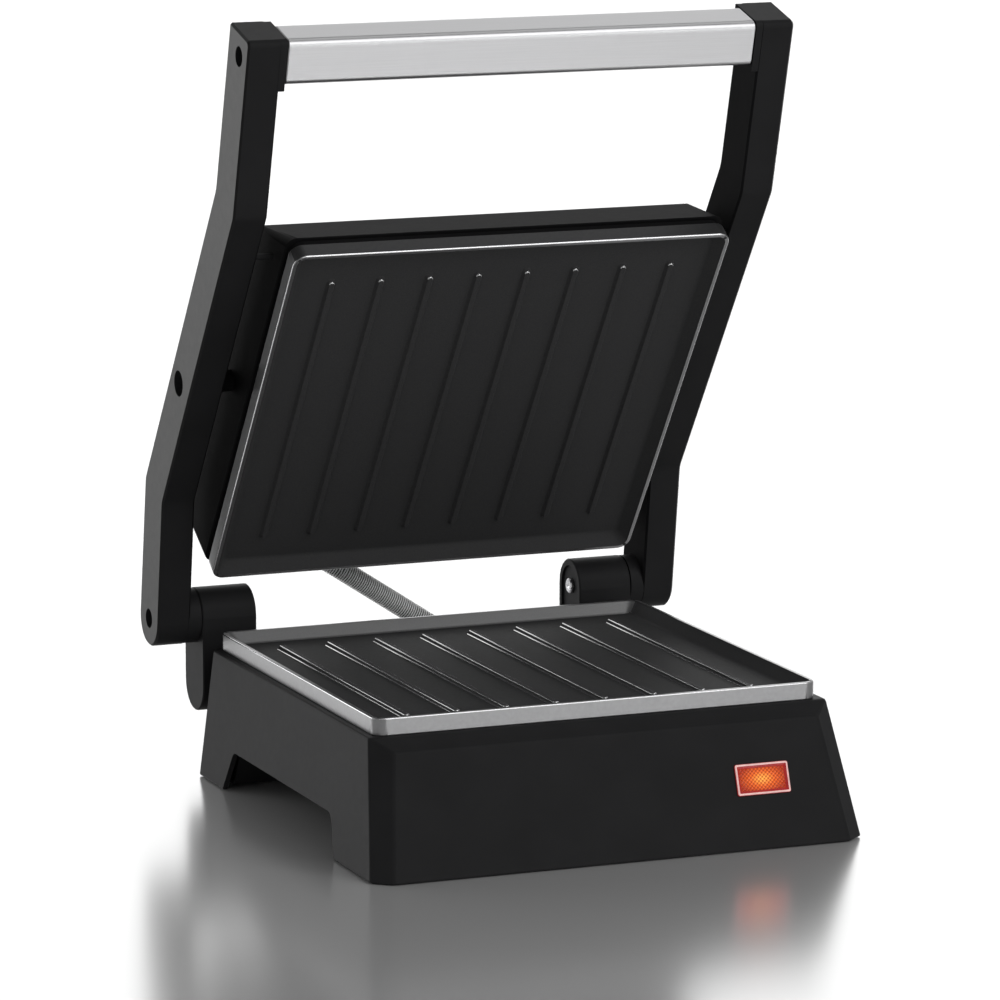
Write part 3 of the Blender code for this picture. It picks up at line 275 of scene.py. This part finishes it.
def spread(tree, value, low, high, socket, from_low=0.3, from_high=0.7):
    """Map a noise value onto a range of a shader's socket."""
    reach = tree.nodes.new("ShaderNodeMapRange")
    reach.inputs["From Min"].default_value = from_low
    reach.inputs["From Max"].default_value = from_high
    reach.inputs["To Min"].default_value = low
    reach.inputs["To Max"].default_value = high
    tree.links.new(value, reach.inputs["Value"])
    tree.links.new(reach.outputs["Result"], socket)


def tint(tree, value, dark, light, socket):
    """Vary a colour between two shades."""
    ramp = tree.nodes.new("ShaderNodeValToRGB")
    ramp.color_ramp.elements[0].position, ramp.color_ramp.elements[1].position = 0.3, 0.7
    ramp.color_ramp.elements[0].color = (*dark, 1)
    ramp.color_ramp.elements[1].color = (*light, 1)
    tree.links.new(value, ramp.inputs["Fac"])
    tree.links.new(ramp.outputs["Color"], socket)


def relief(tree, shader, value, depth, strength=1.0):
    bump = tree.nodes.new("ShaderNodeBump")
    bump.inputs["Strength"].default_value = strength
    bump.inputs["Distance"].default_value = depth
    tree.links.new(value, bump.inputs["Height"])
    tree.links.new(bump.outputs["Normal"], shader.inputs["Normal"])


def moulding(name, shade_of_black, shine, roughness):
    """Heat-resistant moulding with a fine even grain."""
    black = (shade_of_black, shade_of_black, shade_of_black * 1.04)
    made, tree, shader = principled(name, black, roughness, Specular_IOR_Level=shine)
    tint(tree, noise(tree, 0.03, detail=2), tuple(0.92 * c for c in black), tuple(1.08 * c for c in black),
         shader.inputs["Base Color"])
    spread(tree, noise(tree, 0.004, detail=3), roughness - 0.015, roughness + 0.015,
           shader.inputs["Roughness"])
    relief(tree, shader, noise(tree, 0.00045, detail=2), 0.000008, 0.4)
    return made


def black_housing():
    return moulding("black_housing", 0.024, 0.055, 0.42)


def plate_coating():
    """Non-stick coating on the cooking face, faintly mottled."""
    made, tree, shader = principled("plate_coating", (0.060, 0.060, 0.061), 0.60, Specular_IOR_Level=0.03)
    tint(tree, noise(tree, 0.0006, detail=3), (0.054, 0.054, 0.055), (0.066, 0.066, 0.067),
         shader.inputs["Base Color"])
    spread(tree, noise(tree, 0.002, detail=3), 0.52, 0.58, shader.inputs["Roughness"])
    relief(tree, shader, noise(tree, 0.0005, detail=2), 0.000006, 0.5)
    return made


def plate_rim():
    """Satin grey cast metal of the plate's rim."""
    made, tree, shader = principled("plate_rim", (0.36, 0.36, 0.365), 0.32, 0.85)
    tint(tree, noise(tree, 0.002, detail=3), (0.345, 0.345, 0.35), (0.375, 0.375, 0.38),
         shader.inputs["Base Color"])
    spread(tree, noise(tree, 0.0012, detail=3), 0.30, 0.34, shader.inputs["Roughness"])
    return made


def lit_wall_coating():
    """A lighter satin for the lower tray's front and rear walls: painted sheen, a lighter copy of the coating
    where light falls on the walls.
    """
    made, tree, shader = principled("lit_wall_coating", (0.34, 0.34, 0.343), 0.42, 0.8)
    tint(tree, noise(tree, 0.0006, detail=3), (0.32, 0.32, 0.323), (0.36, 0.36, 0.363),
         shader.inputs["Base Color"])
    spread(tree, noise(tree, 0.002, detail=3), 0.39, 0.45, shader.inputs["Roughness"])
    return made


def shaded_rim():
    """A dark satin for the upper rim's side towards the handle: painted shade, a darker copy of the rim's metal.
    """
    made, tree, shader = principled("shaded_rim", (0.10, 0.10, 0.102), 0.45, 0.8)
    tint(tree, noise(tree, 0.002, detail=3), (0.095, 0.095, 0.097), (0.105, 0.105, 0.107),
         shader.inputs["Base Color"])
    spread(tree, noise(tree, 0.0012, detail=3), 0.43, 0.47, shader.inputs["Roughness"])
    return made


def bright_lip_edge():
    """The lip's outer edge, brighter than the rest of the rim: bare metal in part, and in part a painted highlight
    for the bright line along it.
    """
    made, tree, shader = principled("bright_lip_edge", (0.80, 0.80, 0.81), 0.20, 1.0)
    spread(tree, noise(tree, 0.001, detail=3), 0.18, 0.23, shader.inputs["Roughness"])
    return made


def rib_highlight():
    """A glossy light finish along the edges of the ribs: painted highlights, for their bright lines."""
    made, tree, shader = principled("rib_highlight", (0.70, 0.70, 0.705), 0.17, 0.9)
    spread(tree, noise(tree, 0.003, detail=3), 0.14, 0.20, shader.inputs["Roughness"])
    return made


def satin_aluminium():
    """Anodised aluminium with fine brush lines along the bar."""
    made, tree, shader = principled("satin_aluminium", (0.66, 0.66, 0.67), 0.34, 1.0)
    lines = noise(tree, 0.0004, stretch=(0.01, 1, 1), detail=2)
    tint(tree, lines, (0.66, 0.66, 0.67), (0.70, 0.70, 0.71), shader.inputs["Base Color"])
    spread(tree, lines, 0.33, 0.37, shader.inputs["Roughness"])
    relief(tree, shader, lines, 0.0000015, 0.4)
    return made


def bright_steel():
    made, tree, shader = principled("bright_steel", (0.78, 0.78, 0.80), 0.24, 1.0)
    tint(tree, noise(tree, 0.002, detail=4), (0.74, 0.74, 0.76), (0.82, 0.82, 0.84),
         shader.inputs["Base Color"])
    spread(tree, noise(tree, 0.001, detail=3), 0.18, 0.32, shader.inputs["Roughness"])
    return made


def black_rubber():
    made, tree, shader = principled("black_rubber", (0.012, 0.012, 0.012), 0.80)
    spread(tree, noise(tree, 0.002, detail=4), 0.72, 0.88, shader.inputs["Roughness"])
    relief(tree, shader, noise(tree, 0.0006), 0.00003)
    return made


def white_nylon():
    made, tree, shader = principled("white_nylon", (0.70, 0.69, 0.66), 0.50)
    tint(tree, noise(tree, 0.01), (0.67, 0.66, 0.63), (0.73, 0.72, 0.69), shader.inputs["Base Color"])
    spread(tree, noise(tree, 0.002), 0.45, 0.58, shader.inputs["Roughness"])
    return made


def white_ceramic():
    made, tree, shader = principled("white_ceramic", (0.75, 0.74, 0.70), 0.60)
    tint(tree, noise(tree, 0.003, detail=5), (0.70, 0.69, 0.65), (0.78, 0.77, 0.73),
         shader.inputs["Base Color"])
    relief(tree, shader, noise(tree, 0.0004), 0.00002)
    return made


def reflector_sheet():
    made, tree, shader = principled("reflector_sheet", (0.70, 0.70, 0.72), 0.28, 1.0)
    spread(tree, noise(tree, 0.0005, stretch=(1, 0.02, 1)), 0.22, 0.36, shader.inputs["Roughness"])
    return made


def clear_glass():
    made, tree, shader = principled("clear_glass", (1.0, 0.75, 0.50), 0.04, 0.0)
    shader.inputs["Emission Color"].default_value = (1.0, 0.42, 0.08, 1)
    spread(tree, noise(tree, 0.002), 2.0, 3.0, shader.inputs["Emission Strength"])
    return made


def lens_glow():
    """Red-amber plastic lit from behind: yellow over the bulb, red towards the frame."""
    made, tree, shader = principled("amber_lens", (0.55, 0.06, 0.01), 0.16)
    coordinates = tree.nodes.new("ShaderNodeTexCoord")
    away = tree.nodes.new("ShaderNodeVectorMath")
    away.operation = "SUBTRACT"
    away.inputs[1].default_value = lamp_frame().translation
    squeeze = tree.nodes.new("ShaderNodeVectorMath")
    squeeze.operation = "MULTIPLY"
    squeeze.inputs[1].default_value = (1 / GLOW_W, 1 / GLOW_H, 1 / GLOW_H)
    length = tree.nodes.new("ShaderNodeVectorMath")
    length.operation = "LENGTH"
    ramp = tree.nodes.new("ShaderNodeValToRGB")
    stops = ramp.color_ramp.elements
    stops[0].position, stops[0].color = 0.0, (1.0, 0.50, 0.08, 1)
    stops[1].position, stops[1].color = 1.0, (0.16, 0.006, 0.003, 1)
    middle = stops.new(0.50)
    middle.color = (0.62, 0.12, 0.012, 1)
    tree.links.new(coordinates.outputs["Object"], away.inputs[0])
    tree.links.new(away.outputs["Vector"], squeeze.inputs[0])
    tree.links.new(squeeze.outputs["Vector"], length.inputs[0])
    tree.links.new(length.outputs["Value"], ramp.inputs["Fac"])
    tree.links.new(ramp.outputs["Color"], shader.inputs["Emission Color"])
    parts = tree.nodes.new("ShaderNodeSeparateXYZ")
    tree.links.new(away.outputs["Vector"], parts.inputs["Vector"])
    waves = []
    for axis, pitch in (("X", LAMP_PITCH), ("Z", LAMP_PITCH * math.cos(FRONT_LEAN))):
        phase = tree.nodes.new("ShaderNodeMath")
        phase.operation = "MULTIPLY"
        phase.inputs[1].default_value = 2 * math.pi / pitch
        wave = tree.nodes.new("ShaderNodeMath")
        wave.operation = "COSINE"
        tree.links.new(parts.outputs[axis], phase.inputs[0])
        tree.links.new(phase.outputs["Value"], wave.inputs[0])
        waves.append(wave.outputs["Value"])
    facets = tree.nodes.new("ShaderNodeMath")
    facets.operation = "MULTIPLY"
    for socket, wave in zip(facets.inputs, waves):
        tree.links.new(wave, socket)
    spread(tree, facets.outputs["Value"], 0.30, 1.25, shader.inputs["Emission Strength"], -0.45, 0.55)
    return made


def lens_frame():
    """The lamp's frame: the same red plastic, hardly lit."""
    made, tree, shader = principled("amber_frame", (0.42, 0.02, 0.02), 0.14, Specular_IOR_Level=0.5)
    shader.inputs["Emission Color"].default_value = (0.55, 0.03, 0.03, 1)
    spread(tree, noise(tree, 0.004), 0.16, 0.30, shader.inputs["Emission Strength"])
    return made


def lens_highlight():
    """The frame's crest, pale pink and faintly glowing: a painted highlight."""
    made, tree, shader = principled("amber_highlight", (0.90, 0.55, 0.53), 0.12)
    shader.inputs["Emission Color"].default_value = (1.0, 0.60, 0.56, 1)
    spread(tree, noise(tree, 0.003), 0.18, 0.42, shader.inputs["Emission Strength"])
    return made


def coil_wire():
    """Bright plated wire."""
    made, tree, shader = principled("coil_wire", (0.96, 0.96, 0.96), 0.28, 0.10)
    spread(tree, noise(tree, 0.001), 0.24, 0.34, shader.inputs["Roughness"])
    return made


def sleeve():
    made, tree, shader = principled("conduit_sleeve", (0.02, 0.02, 0.02), 0.6)
    spread(tree, noise(tree, 0.001), 0.5, 0.7, shader.inputs["Roughness"])
    return made


MATERIALS = {make.__name__: make() for make in (
    black_housing, satin_aluminium, bright_steel, black_rubber, white_nylon, white_ceramic,
    reflector_sheet, clear_glass)}
MATERIALS["coated_plate"] = plate_coating()
MATERIALS["amber_lens"] = lens_glow()
LENS_FRAME, LENS_HIGHLIGHT, COIL_WIRE, SLEEVE = lens_frame(), lens_highlight(), coil_wire(), sleeve()
PLATE_FINISHES = (plate_rim(), MATERIALS["coated_plate"], bright_lip_edge(), rib_highlight(), lit_wall_coating(),
                  shaded_rim())
RIM, COATING, BRIGHT_LIP, RIB_HIGHLIGHT, LIT_WALL, SHADED_RIM = range(len(PLATE_FINISHES))
MOULDINGS = {"arm": moulding("arm_moulding", 0.006, 0.24, 0.38),
             "upper": moulding("case_moulding", 0.012, 0.02, 0.60)}


def finish_cad_nodes():
    for name, node in frame["nodes"].items():
        for slot in node.material_slots:
            slot.material = MATERIALS[SLOT_OF[name]]


# ---------------------------------------------------------------- grill plates
def rib(x, place):
    """A low bar with round ends, a fillet at its foot and rounded edges along its crest."""
    slope = (RIB_BASE - RIB_CREST) / 2 / RIB_H
    levels = [(-RIB_FILLET - 0.0004, -0.0006), (-RIB_FILLET, 0.0)]
    levels += [(-RIB_FILLET * (1 - math.sin(t)), RIB_FILLET * (1 - math.cos(t)))
               for t in (0.5, 0.9, 1.2)]
    side = slope * (RIB_H - RIB_FILLET)
    levels += [(side + RIB_FILLET * (1 - math.cos(t)), RIB_H - RIB_FILLET * (1 - math.sin(t)))
               for t in (0.1, 0.45, 0.8, 1.15, 1.5)]
    loops = []
    for inset, z in levels:
        width, half = RIB_BASE - 2 * inset, RIB_LENGTH / 2 - RIB_BASE / 2
        outline = arc((x, half), width / 2, 0, 180, 10) + arc((x, -half), width / 2, 180, 360, 10)
        loops.append(at_height(outline, z - TRAY_DEPTH))
    return new_object("rib", loft(loops), place)


def plate_loops():
    """Loops from the middle of the plate's back, round the rim and down into the tray."""
    def loop(inset, z, radius=PLATE_CORNER):
        corner = max(radius - inset, LEAST_CORNER)
        return at_height(rounded_rectangle(PLATE_W - 2 * inset, PLATE_D - 2 * inset, corner), z)

    back = [at_height(rounded_rectangle(BACK_W, BACK_D, 0.0008), z) for z in (-PLATE_BACK, -RIM_H)]
    rim = [loop(EDGE, -RIM_H), loop(EDGE * 0.3, -RIM_H + EDGE * 0.3), loop(0, -RIM_H + EDGE)]
    rim += [loop(EDGE * (1 - math.cos(t)), -EDGE * (1 - math.sin(t))) for t in (0, 0.4, 0.8, 1.2, 1.571)]
    rim += [loop(LIP - EDGE * math.cos(t), -EDGE * (1 - math.sin(t))) for t in (1.571, 1.2, 0.85)]
    wall = math.atan2(TRAY_DEPTH, TRAY_DRAFT)
    reach = TRAY_FOOT * math.tan(wall / 2)
    tray = []
    for k in range(FOOT_STEPS + 1):
        turn = wall * (1 - k / FOOT_STEPS)
        tray.append(loop(LIP + TRAY_DRAFT + reach - TRAY_FOOT * math.sin(turn),
                         -TRAY_DEPTH + TRAY_FOOT * (1 - math.cos(turn)), TRAY_CORNER))
    return back, rim, tray


def finish_at(at, faces, lower):
    """Which of the plate's finishes a face takes, from its middle and its direction in the plate frame."""
    from_edge = min(PLATE_W / 2 - abs(at.x), PLATE_D / 2 - abs(at.y))
    crest = RIB_H - TRAY_DEPTH
    # the lip's outer edge: bare metal in part, and in part a painted highlight
    if at.z > -EDGE and from_edge < LIP / 2:
        return BRIGHT_LIP
    if from_edge < LIP + EDGE / 2 or faces.z < -0.2 or at.z < -RIM_H + 0.001:
        # painted shade: the upper rim's side towards the handle takes a darker copy of the rim
        return SHADED_RIM if faces.y > 0.5 and not lower else RIM
    if from_edge < LIP + TRAY_DRAFT:
        # painted sheen: the lower tray's front and rear walls take a lighter copy of the coating
        return LIT_WALL if abs(faces.y) > 0.36 and lower else COATING
    # painted highlights: the ribs' crest edges, and on the lower plate their feet too, take a bright glossy finish
    on_crest = crest - RIB_FILLET * 1.05 < at.z < crest
    at_foot = 0.00001 < at.z + TRAY_DEPTH < RIB_FILLET * 0.7 and from_edge > RIB_MARGIN
    highlighted = on_crest or at_foot if lower else on_crest and at.y > RIB_LENGTH / 2 - RIB_BASE
    return RIB_HIGHLIGHT if highlighted and faces.z < 0.985 else COATING


def make_plate(node, place):
    back, rim, tray = plate_loops()
    plate = new_object(f"{node}_fine", loft(back + rim + tray), place)
    stand_for(plate, node, *PLATE_FINISHES)
    for index in range(RIB_COUNT):
        bar = rib((index - (RIB_COUNT - 1) / 2) * RIB_PITCH, place)
        for finish in PLATE_FINISHES:
            bar.data.materials.append(finish)
        combine(plate, bar, "UNION")
    inverse = place.inverted()
    for face in plate.data.polygons:
        face.material_index = finish_at(inverse @ face.center, inverse.to_3x3() @ face.normal,
                                        node == "lower_plate")
    return shade(plate, 40)


# ---------------------------------------------------------------- handle
def handle_section(shrink, radius):
    along = Vector((math.cos(NOSE_ANGLE), -math.sin(NOSE_ANGLE)))
    across = Vector((math.sin(NOSE_ANGLE), math.cos(NOSE_ANGLE)))
    middle = Vector((NOSE_CORNER_Y, NOSE_CORNER_Z)) + along * HANDLE_TALL / 2 + across * HANDLE_DEEP / 2
    flat = rounded_rectangle(HANDLE_TALL - 2 * shrink, HANDLE_DEEP - 2 * shrink, radius, 8)
    return [tuple(middle + along * a + across * b) for a, b in flat]


def make_handle():
    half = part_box("handle_tube")[1].x
    loops = []
    for shrink, x in ((HANDLE_WALL, -half), (EDGE, -half), (0, -half + EDGE), (0, half - EDGE),
                      (EDGE, half), (HANDLE_WALL, half)):
        radius = max(HANDLE_RADIUS - shrink, LEAST_CORNER)
        loops.append([(x, y, z) for y, z in handle_section(shrink, radius)])
    handle = new_object("handle_tube_fine", loft(loops, closed=True), lid_frame())
    return stand_for(shade(handle), "handle_tube", MATERIALS["satin_aluminium"])


# ---------------------------------------------------------------- pilot lamp
def make_lamp():
    """A frame with rounded edges round a sunk panel of small diamonds."""
    place = lamp_frame()
    make_lamp_rim(place)
    make_lamp_panel(place)


def make_lamp_rim(place):
    def loop(inset, z):
        corner = max(0.0011 - inset, 0.0004)
        return at_height(rounded_rectangle(LAMP_W - 2 * inset, LAMP_H - 2 * inset, corner, 5), z)

    inner = LAMP_BEZEL + LAMP_GAP
    loops = [loop(0, LAMP_GAP), loop(0, LAMP_TOP - 0.0005), loop(0.0002, LAMP_TOP - 0.0002),
             loop(0.0005, LAMP_TOP), loop(0.0011, LAMP_TOP), loop(LAMP_BEZEL - 0.0002, LAMP_LOW + 0.0001),
             loop(LAMP_BEZEL, LAMP_LOW), loop(LAMP_BEZEL, -LAMP_DEEP), loop(inner, -LAMP_DEEP),
             loop(inner, LAMP_GAP)]
    rim = new_object("lamp_frame_fine", loft(loops, closed=True), place)
    inverse = place.inverted()
    # painted highlight: the faces on the frame's crest take the pale glowing finish
    for face in rim.data.polygons:
        face.material_index = 1 if (inverse @ face.center).z > LAMP_TOP - 0.00015 else 0
    stand_for(shade(rim), "lamp_lens", LENS_FRAME, LENS_HIGHLIGHT)


def make_lamp_panel(place):
    half_w, half_h = (size / 2 - LAMP_BEZEL - LAMP_GAP - 0.0001 for size in (LAMP_W, LAMP_H))
    columns, rows = (round(2 * half / LAMP_PITCH * PANEL_STEPS) for half in (half_w, half_h))
    bm = bmesh.new()
    bmesh.ops.create_grid(bm, x_segments=columns, y_segments=rows, size=1)
    for vert in bm.verts:
        x, y = vert.co.x * half_w, vert.co.y * half_h
        wave = math.cos(2 * math.pi * x / LAMP_PITCH) * math.cos(2 * math.pi * y / LAMP_PITCH)
        vert.co = (x, y, LAMP_LOW - 0.0001 + PANEL_RELIEF * wave)
    panel = new_object("lamp_panel", bm, place)
    thick = panel.modifiers.new("thickness", "SOLIDIFY")
    thick.thickness = PANEL_T
    apply_modifiers(panel)
    panel.data.materials.append(MATERIALS["amber_lens"])
    panel.data.shade_smooth()
    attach(panel, "base")


# ---------------------------------------------------------------- conduit
def smooth_route(points, spacing):
    """Evenly spaced points on a Catmull-Rom curve through the given ones."""
    knots = [Vector(p) for p in points]
    knots = [2 * knots[0] - knots[1], *knots, 2 * knots[-1] - knots[-2]]
    route = []
    for a, b, c, d in zip(knots, knots[1:], knots[2:], knots[3:]):
        steps = max(1, round((c - b).length / spacing))
        for k in range(steps):
            t = k / steps
            route.append(0.5 * (2 * b + (c - a) * t + (2 * a - 5 * b + 4 * c - d) * t ** 2
                                + (3 * b - 3 * c + d - a) * t ** 3))
    return [*route, knots[-2]]


def spiral(route, radius, turn, per_turn=20):
    """Points of a coil of a given pitch wound round a route, its frame carried along without twist."""
    points, angle, across = [], 0.0, Vector((1, 0, 0))
    for here, ahead in zip(route, route[1:]):
        along = (ahead - here).normalized()
        across = (across - along * across.dot(along)).normalized()
        other = along.cross(across)
        length = (ahead - here).length
        steps = max(1, round(length / turn * per_turn))
        for k in range(steps):
            centre = here.lerp(ahead, k / steps)
            points.append(centre + radius * (math.cos(angle) * across + math.sin(angle) * other))
            angle += 2 * math.pi * length / turn / steps
    return points


def wire(name, points, radius, sides):
    curve = bpy.data.curves.new(name, "CURVE")
    curve.dimensions = "3D"
    curve.bevel_depth = radius
    curve.bevel_resolution = sides // 2 - 2
    curve.use_fill_caps = True
    spline = curve.splines.new("POLY")
    spline.points.add(len(points) - 1)
    for point, place in zip(spline.points, points):
        point.co = (*place, 1)
    return bpy.data.objects.new(name, curve)


def make_conduit():
    route = smooth_route(CONDUIT_POINTS, CONDUIT_STEP)
    coil = wire("conduit_coil", spiral(route, CONDUIT_R - CONDUIT_WIRE, CONDUIT_TURN), CONDUIT_WIRE, 6)
    inside = wire("conduit_inside", route, CONDUIT_R - 2 * CONDUIT_WIRE, 12)
    for part, material in ((coil, COIL_WIRE), (inside, SLEEVE)):
        bpy.context.scene.collection.objects.link(part)
        part.data.materials.append(material)
    graph = bpy.context.evaluated_depsgraph_get()
    for part in (coil, inside):
        mesh = bpy.data.meshes.new_from_object(part.evaluated_get(graph))
        mesh.shade_smooth()
        name = f"{part.name}_fine"
        bpy.data.objects.remove(part, do_unlink=True)
        piece = bpy.data.objects.new(name, mesh)
        bpy.context.scene.collection.objects.link(piece)
        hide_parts("conduit_spring")
        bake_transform(piece, "base", "lid_frame", start=CONDUIT_POINTS[-1], end=CONDUIT_POINTS[0])


# ---------------------------------------------------------------- studio
def look_at(obj, place, target):
    obj.location = place
    obj.rotation_euler = (Vector(target) - Vector(place)).to_track_quat("-Z", "Y").to_euler()


def make_camera():
    camera = bpy.data.objects.new("camera", bpy.data.cameras.new("camera"))
    camera.data.lens = CAMERA_LENS
    camera.data.sensor_width = 36
    level = math.cos(CAMERA_ELEVATION)
    back = Vector((math.sin(CAMERA_AZIMUTH) * level, -math.cos(CAMERA_AZIMUTH) * level,
                   math.sin(CAMERA_ELEVATION)))
    target = Vector(CAMERA_TARGET)
    look_at(camera, target + back * CAMERA_DISTANCE, target)
    bpy.context.scene.collection.objects.link(camera)
    bpy.context.scene.camera = camera


def softbox(name, place, target, width, height, power):
    light = bpy.data.lights.new(name, "AREA")
    light.shape = "RECTANGLE"
    light.size, light.size_y, light.energy = width, height, power
    lamp = bpy.data.objects.new(name, light)
    look_at(lamp, place, target)
    bpy.context.scene.collection.objects.link(lamp)


def map_range(tree, value, from_low, from_high, to_low, to_high):
    """A smooth step of a value from one level to another."""
    reach = tree.nodes.new("ShaderNodeMapRange")
    reach.interpolation_type = "SMOOTHSTEP"
    reach.inputs["From Min"].default_value, reach.inputs["From Max"].default_value = from_low, from_high
    reach.inputs["To Min"].default_value, reach.inputs["To Max"].default_value = to_low, to_high
    tree.links.new(value, reach.inputs["Value"])
    return reach.outputs["Result"]


def make_world():
    """A studio that is white round the horizon behind the press, and greyer overhead and in front."""
    world = bpy.data.worlds.new("studio")
    world.use_nodes = True
    tree = world.node_tree
    background = tree.nodes["Background"]
    background.inputs["Color"].default_value = (1, 1, 1, 1)
    direction = tree.nodes.new("ShaderNodeTexCoord")
    parts = tree.nodes.new("ShaderNodeSeparateXYZ")
    tree.links.new(direction.outputs["Generated"], parts.inputs["Vector"])
    ahead = tree.nodes.new("ShaderNodeVectorMath")
    ahead.operation = "DOT_PRODUCT"
    ahead.inputs[1].default_value = (-math.sin(CAMERA_AZIMUTH + BRIGHT_TURN),
                                     math.cos(CAMERA_AZIMUTH + BRIGHT_TURN), 0)
    tree.links.new(direction.outputs["Generated"], ahead.inputs[0])
    both = tree.nodes.new("ShaderNodeMath")
    both.operation = "MULTIPLY"
    by_height = map_range(tree, parts.outputs["Z"], 0.32, 0.85, BEHIND, OVERHEAD)
    by_side = map_range(tree, ahead.outputs["Value"], 0.60, 0.88, IN_FRONT, 1.0)
    tree.links.new(by_height, both.inputs[0])
    tree.links.new(by_side, both.inputs[1])
    tree.links.new(both.outputs["Value"], background.inputs["Strength"])
    bpy.context.scene.world = world


def make_studio():
    bm = bmesh.new()
    bmesh.ops.create_grid(bm, x_segments=1, y_segments=1, size=12)
    floor = new_object("studio_floor", bm)
    made, tree, shader = principled("studio_floor", (0.97, 0.97, 0.97), 0.2, FLOOR_SHINE)
    spread(tree, noise(tree, 0.5), 0.18, 0.22, shader.inputs["Roughness"])
    floor.data.materials.append(made)
    make_world()
    middle = (0, 0, 0.15)
    softbox("front_high", (0.85, -1.7, 1.75), middle, 1.6, 1.5, 14)
    softbox("front_low", (0.9, -2.2, 0.42), middle, 1.1, 0.55, 3.4)
    softbox("overhead", (0.48, 0.16, 1.58), (0, 0.1, 0.37), 0.6, 0.9, 1.2)
    softbox("left_behind", (-0.95, 0.95, 0.40), (-0.10, 0.0, 0.20), 1.0, 0.8, 3.2)
    bpy.context.scene.view_settings.view_transform = "Standard"


def main():
    make_camera()
    make_studio()
    finish_cad_nodes()
    make_plate("lower_plate", lower_plate_frame())
    make_plate("upper_plate", upper_plate_frame())
    make_handle()
    make_lamp()
    make_conduit()
    refined("base_shell", 0.0005)
    refined("upper_cover", 0.0005)
    refined("upper_frame", 0.0004)
    refined("bottom_cover", 0.0004)
    for side in SIDES:
        refined(f"arm_{side}", 0.00035)
        refined(f"hinge_bracket_{side}", 0.0003)


main()
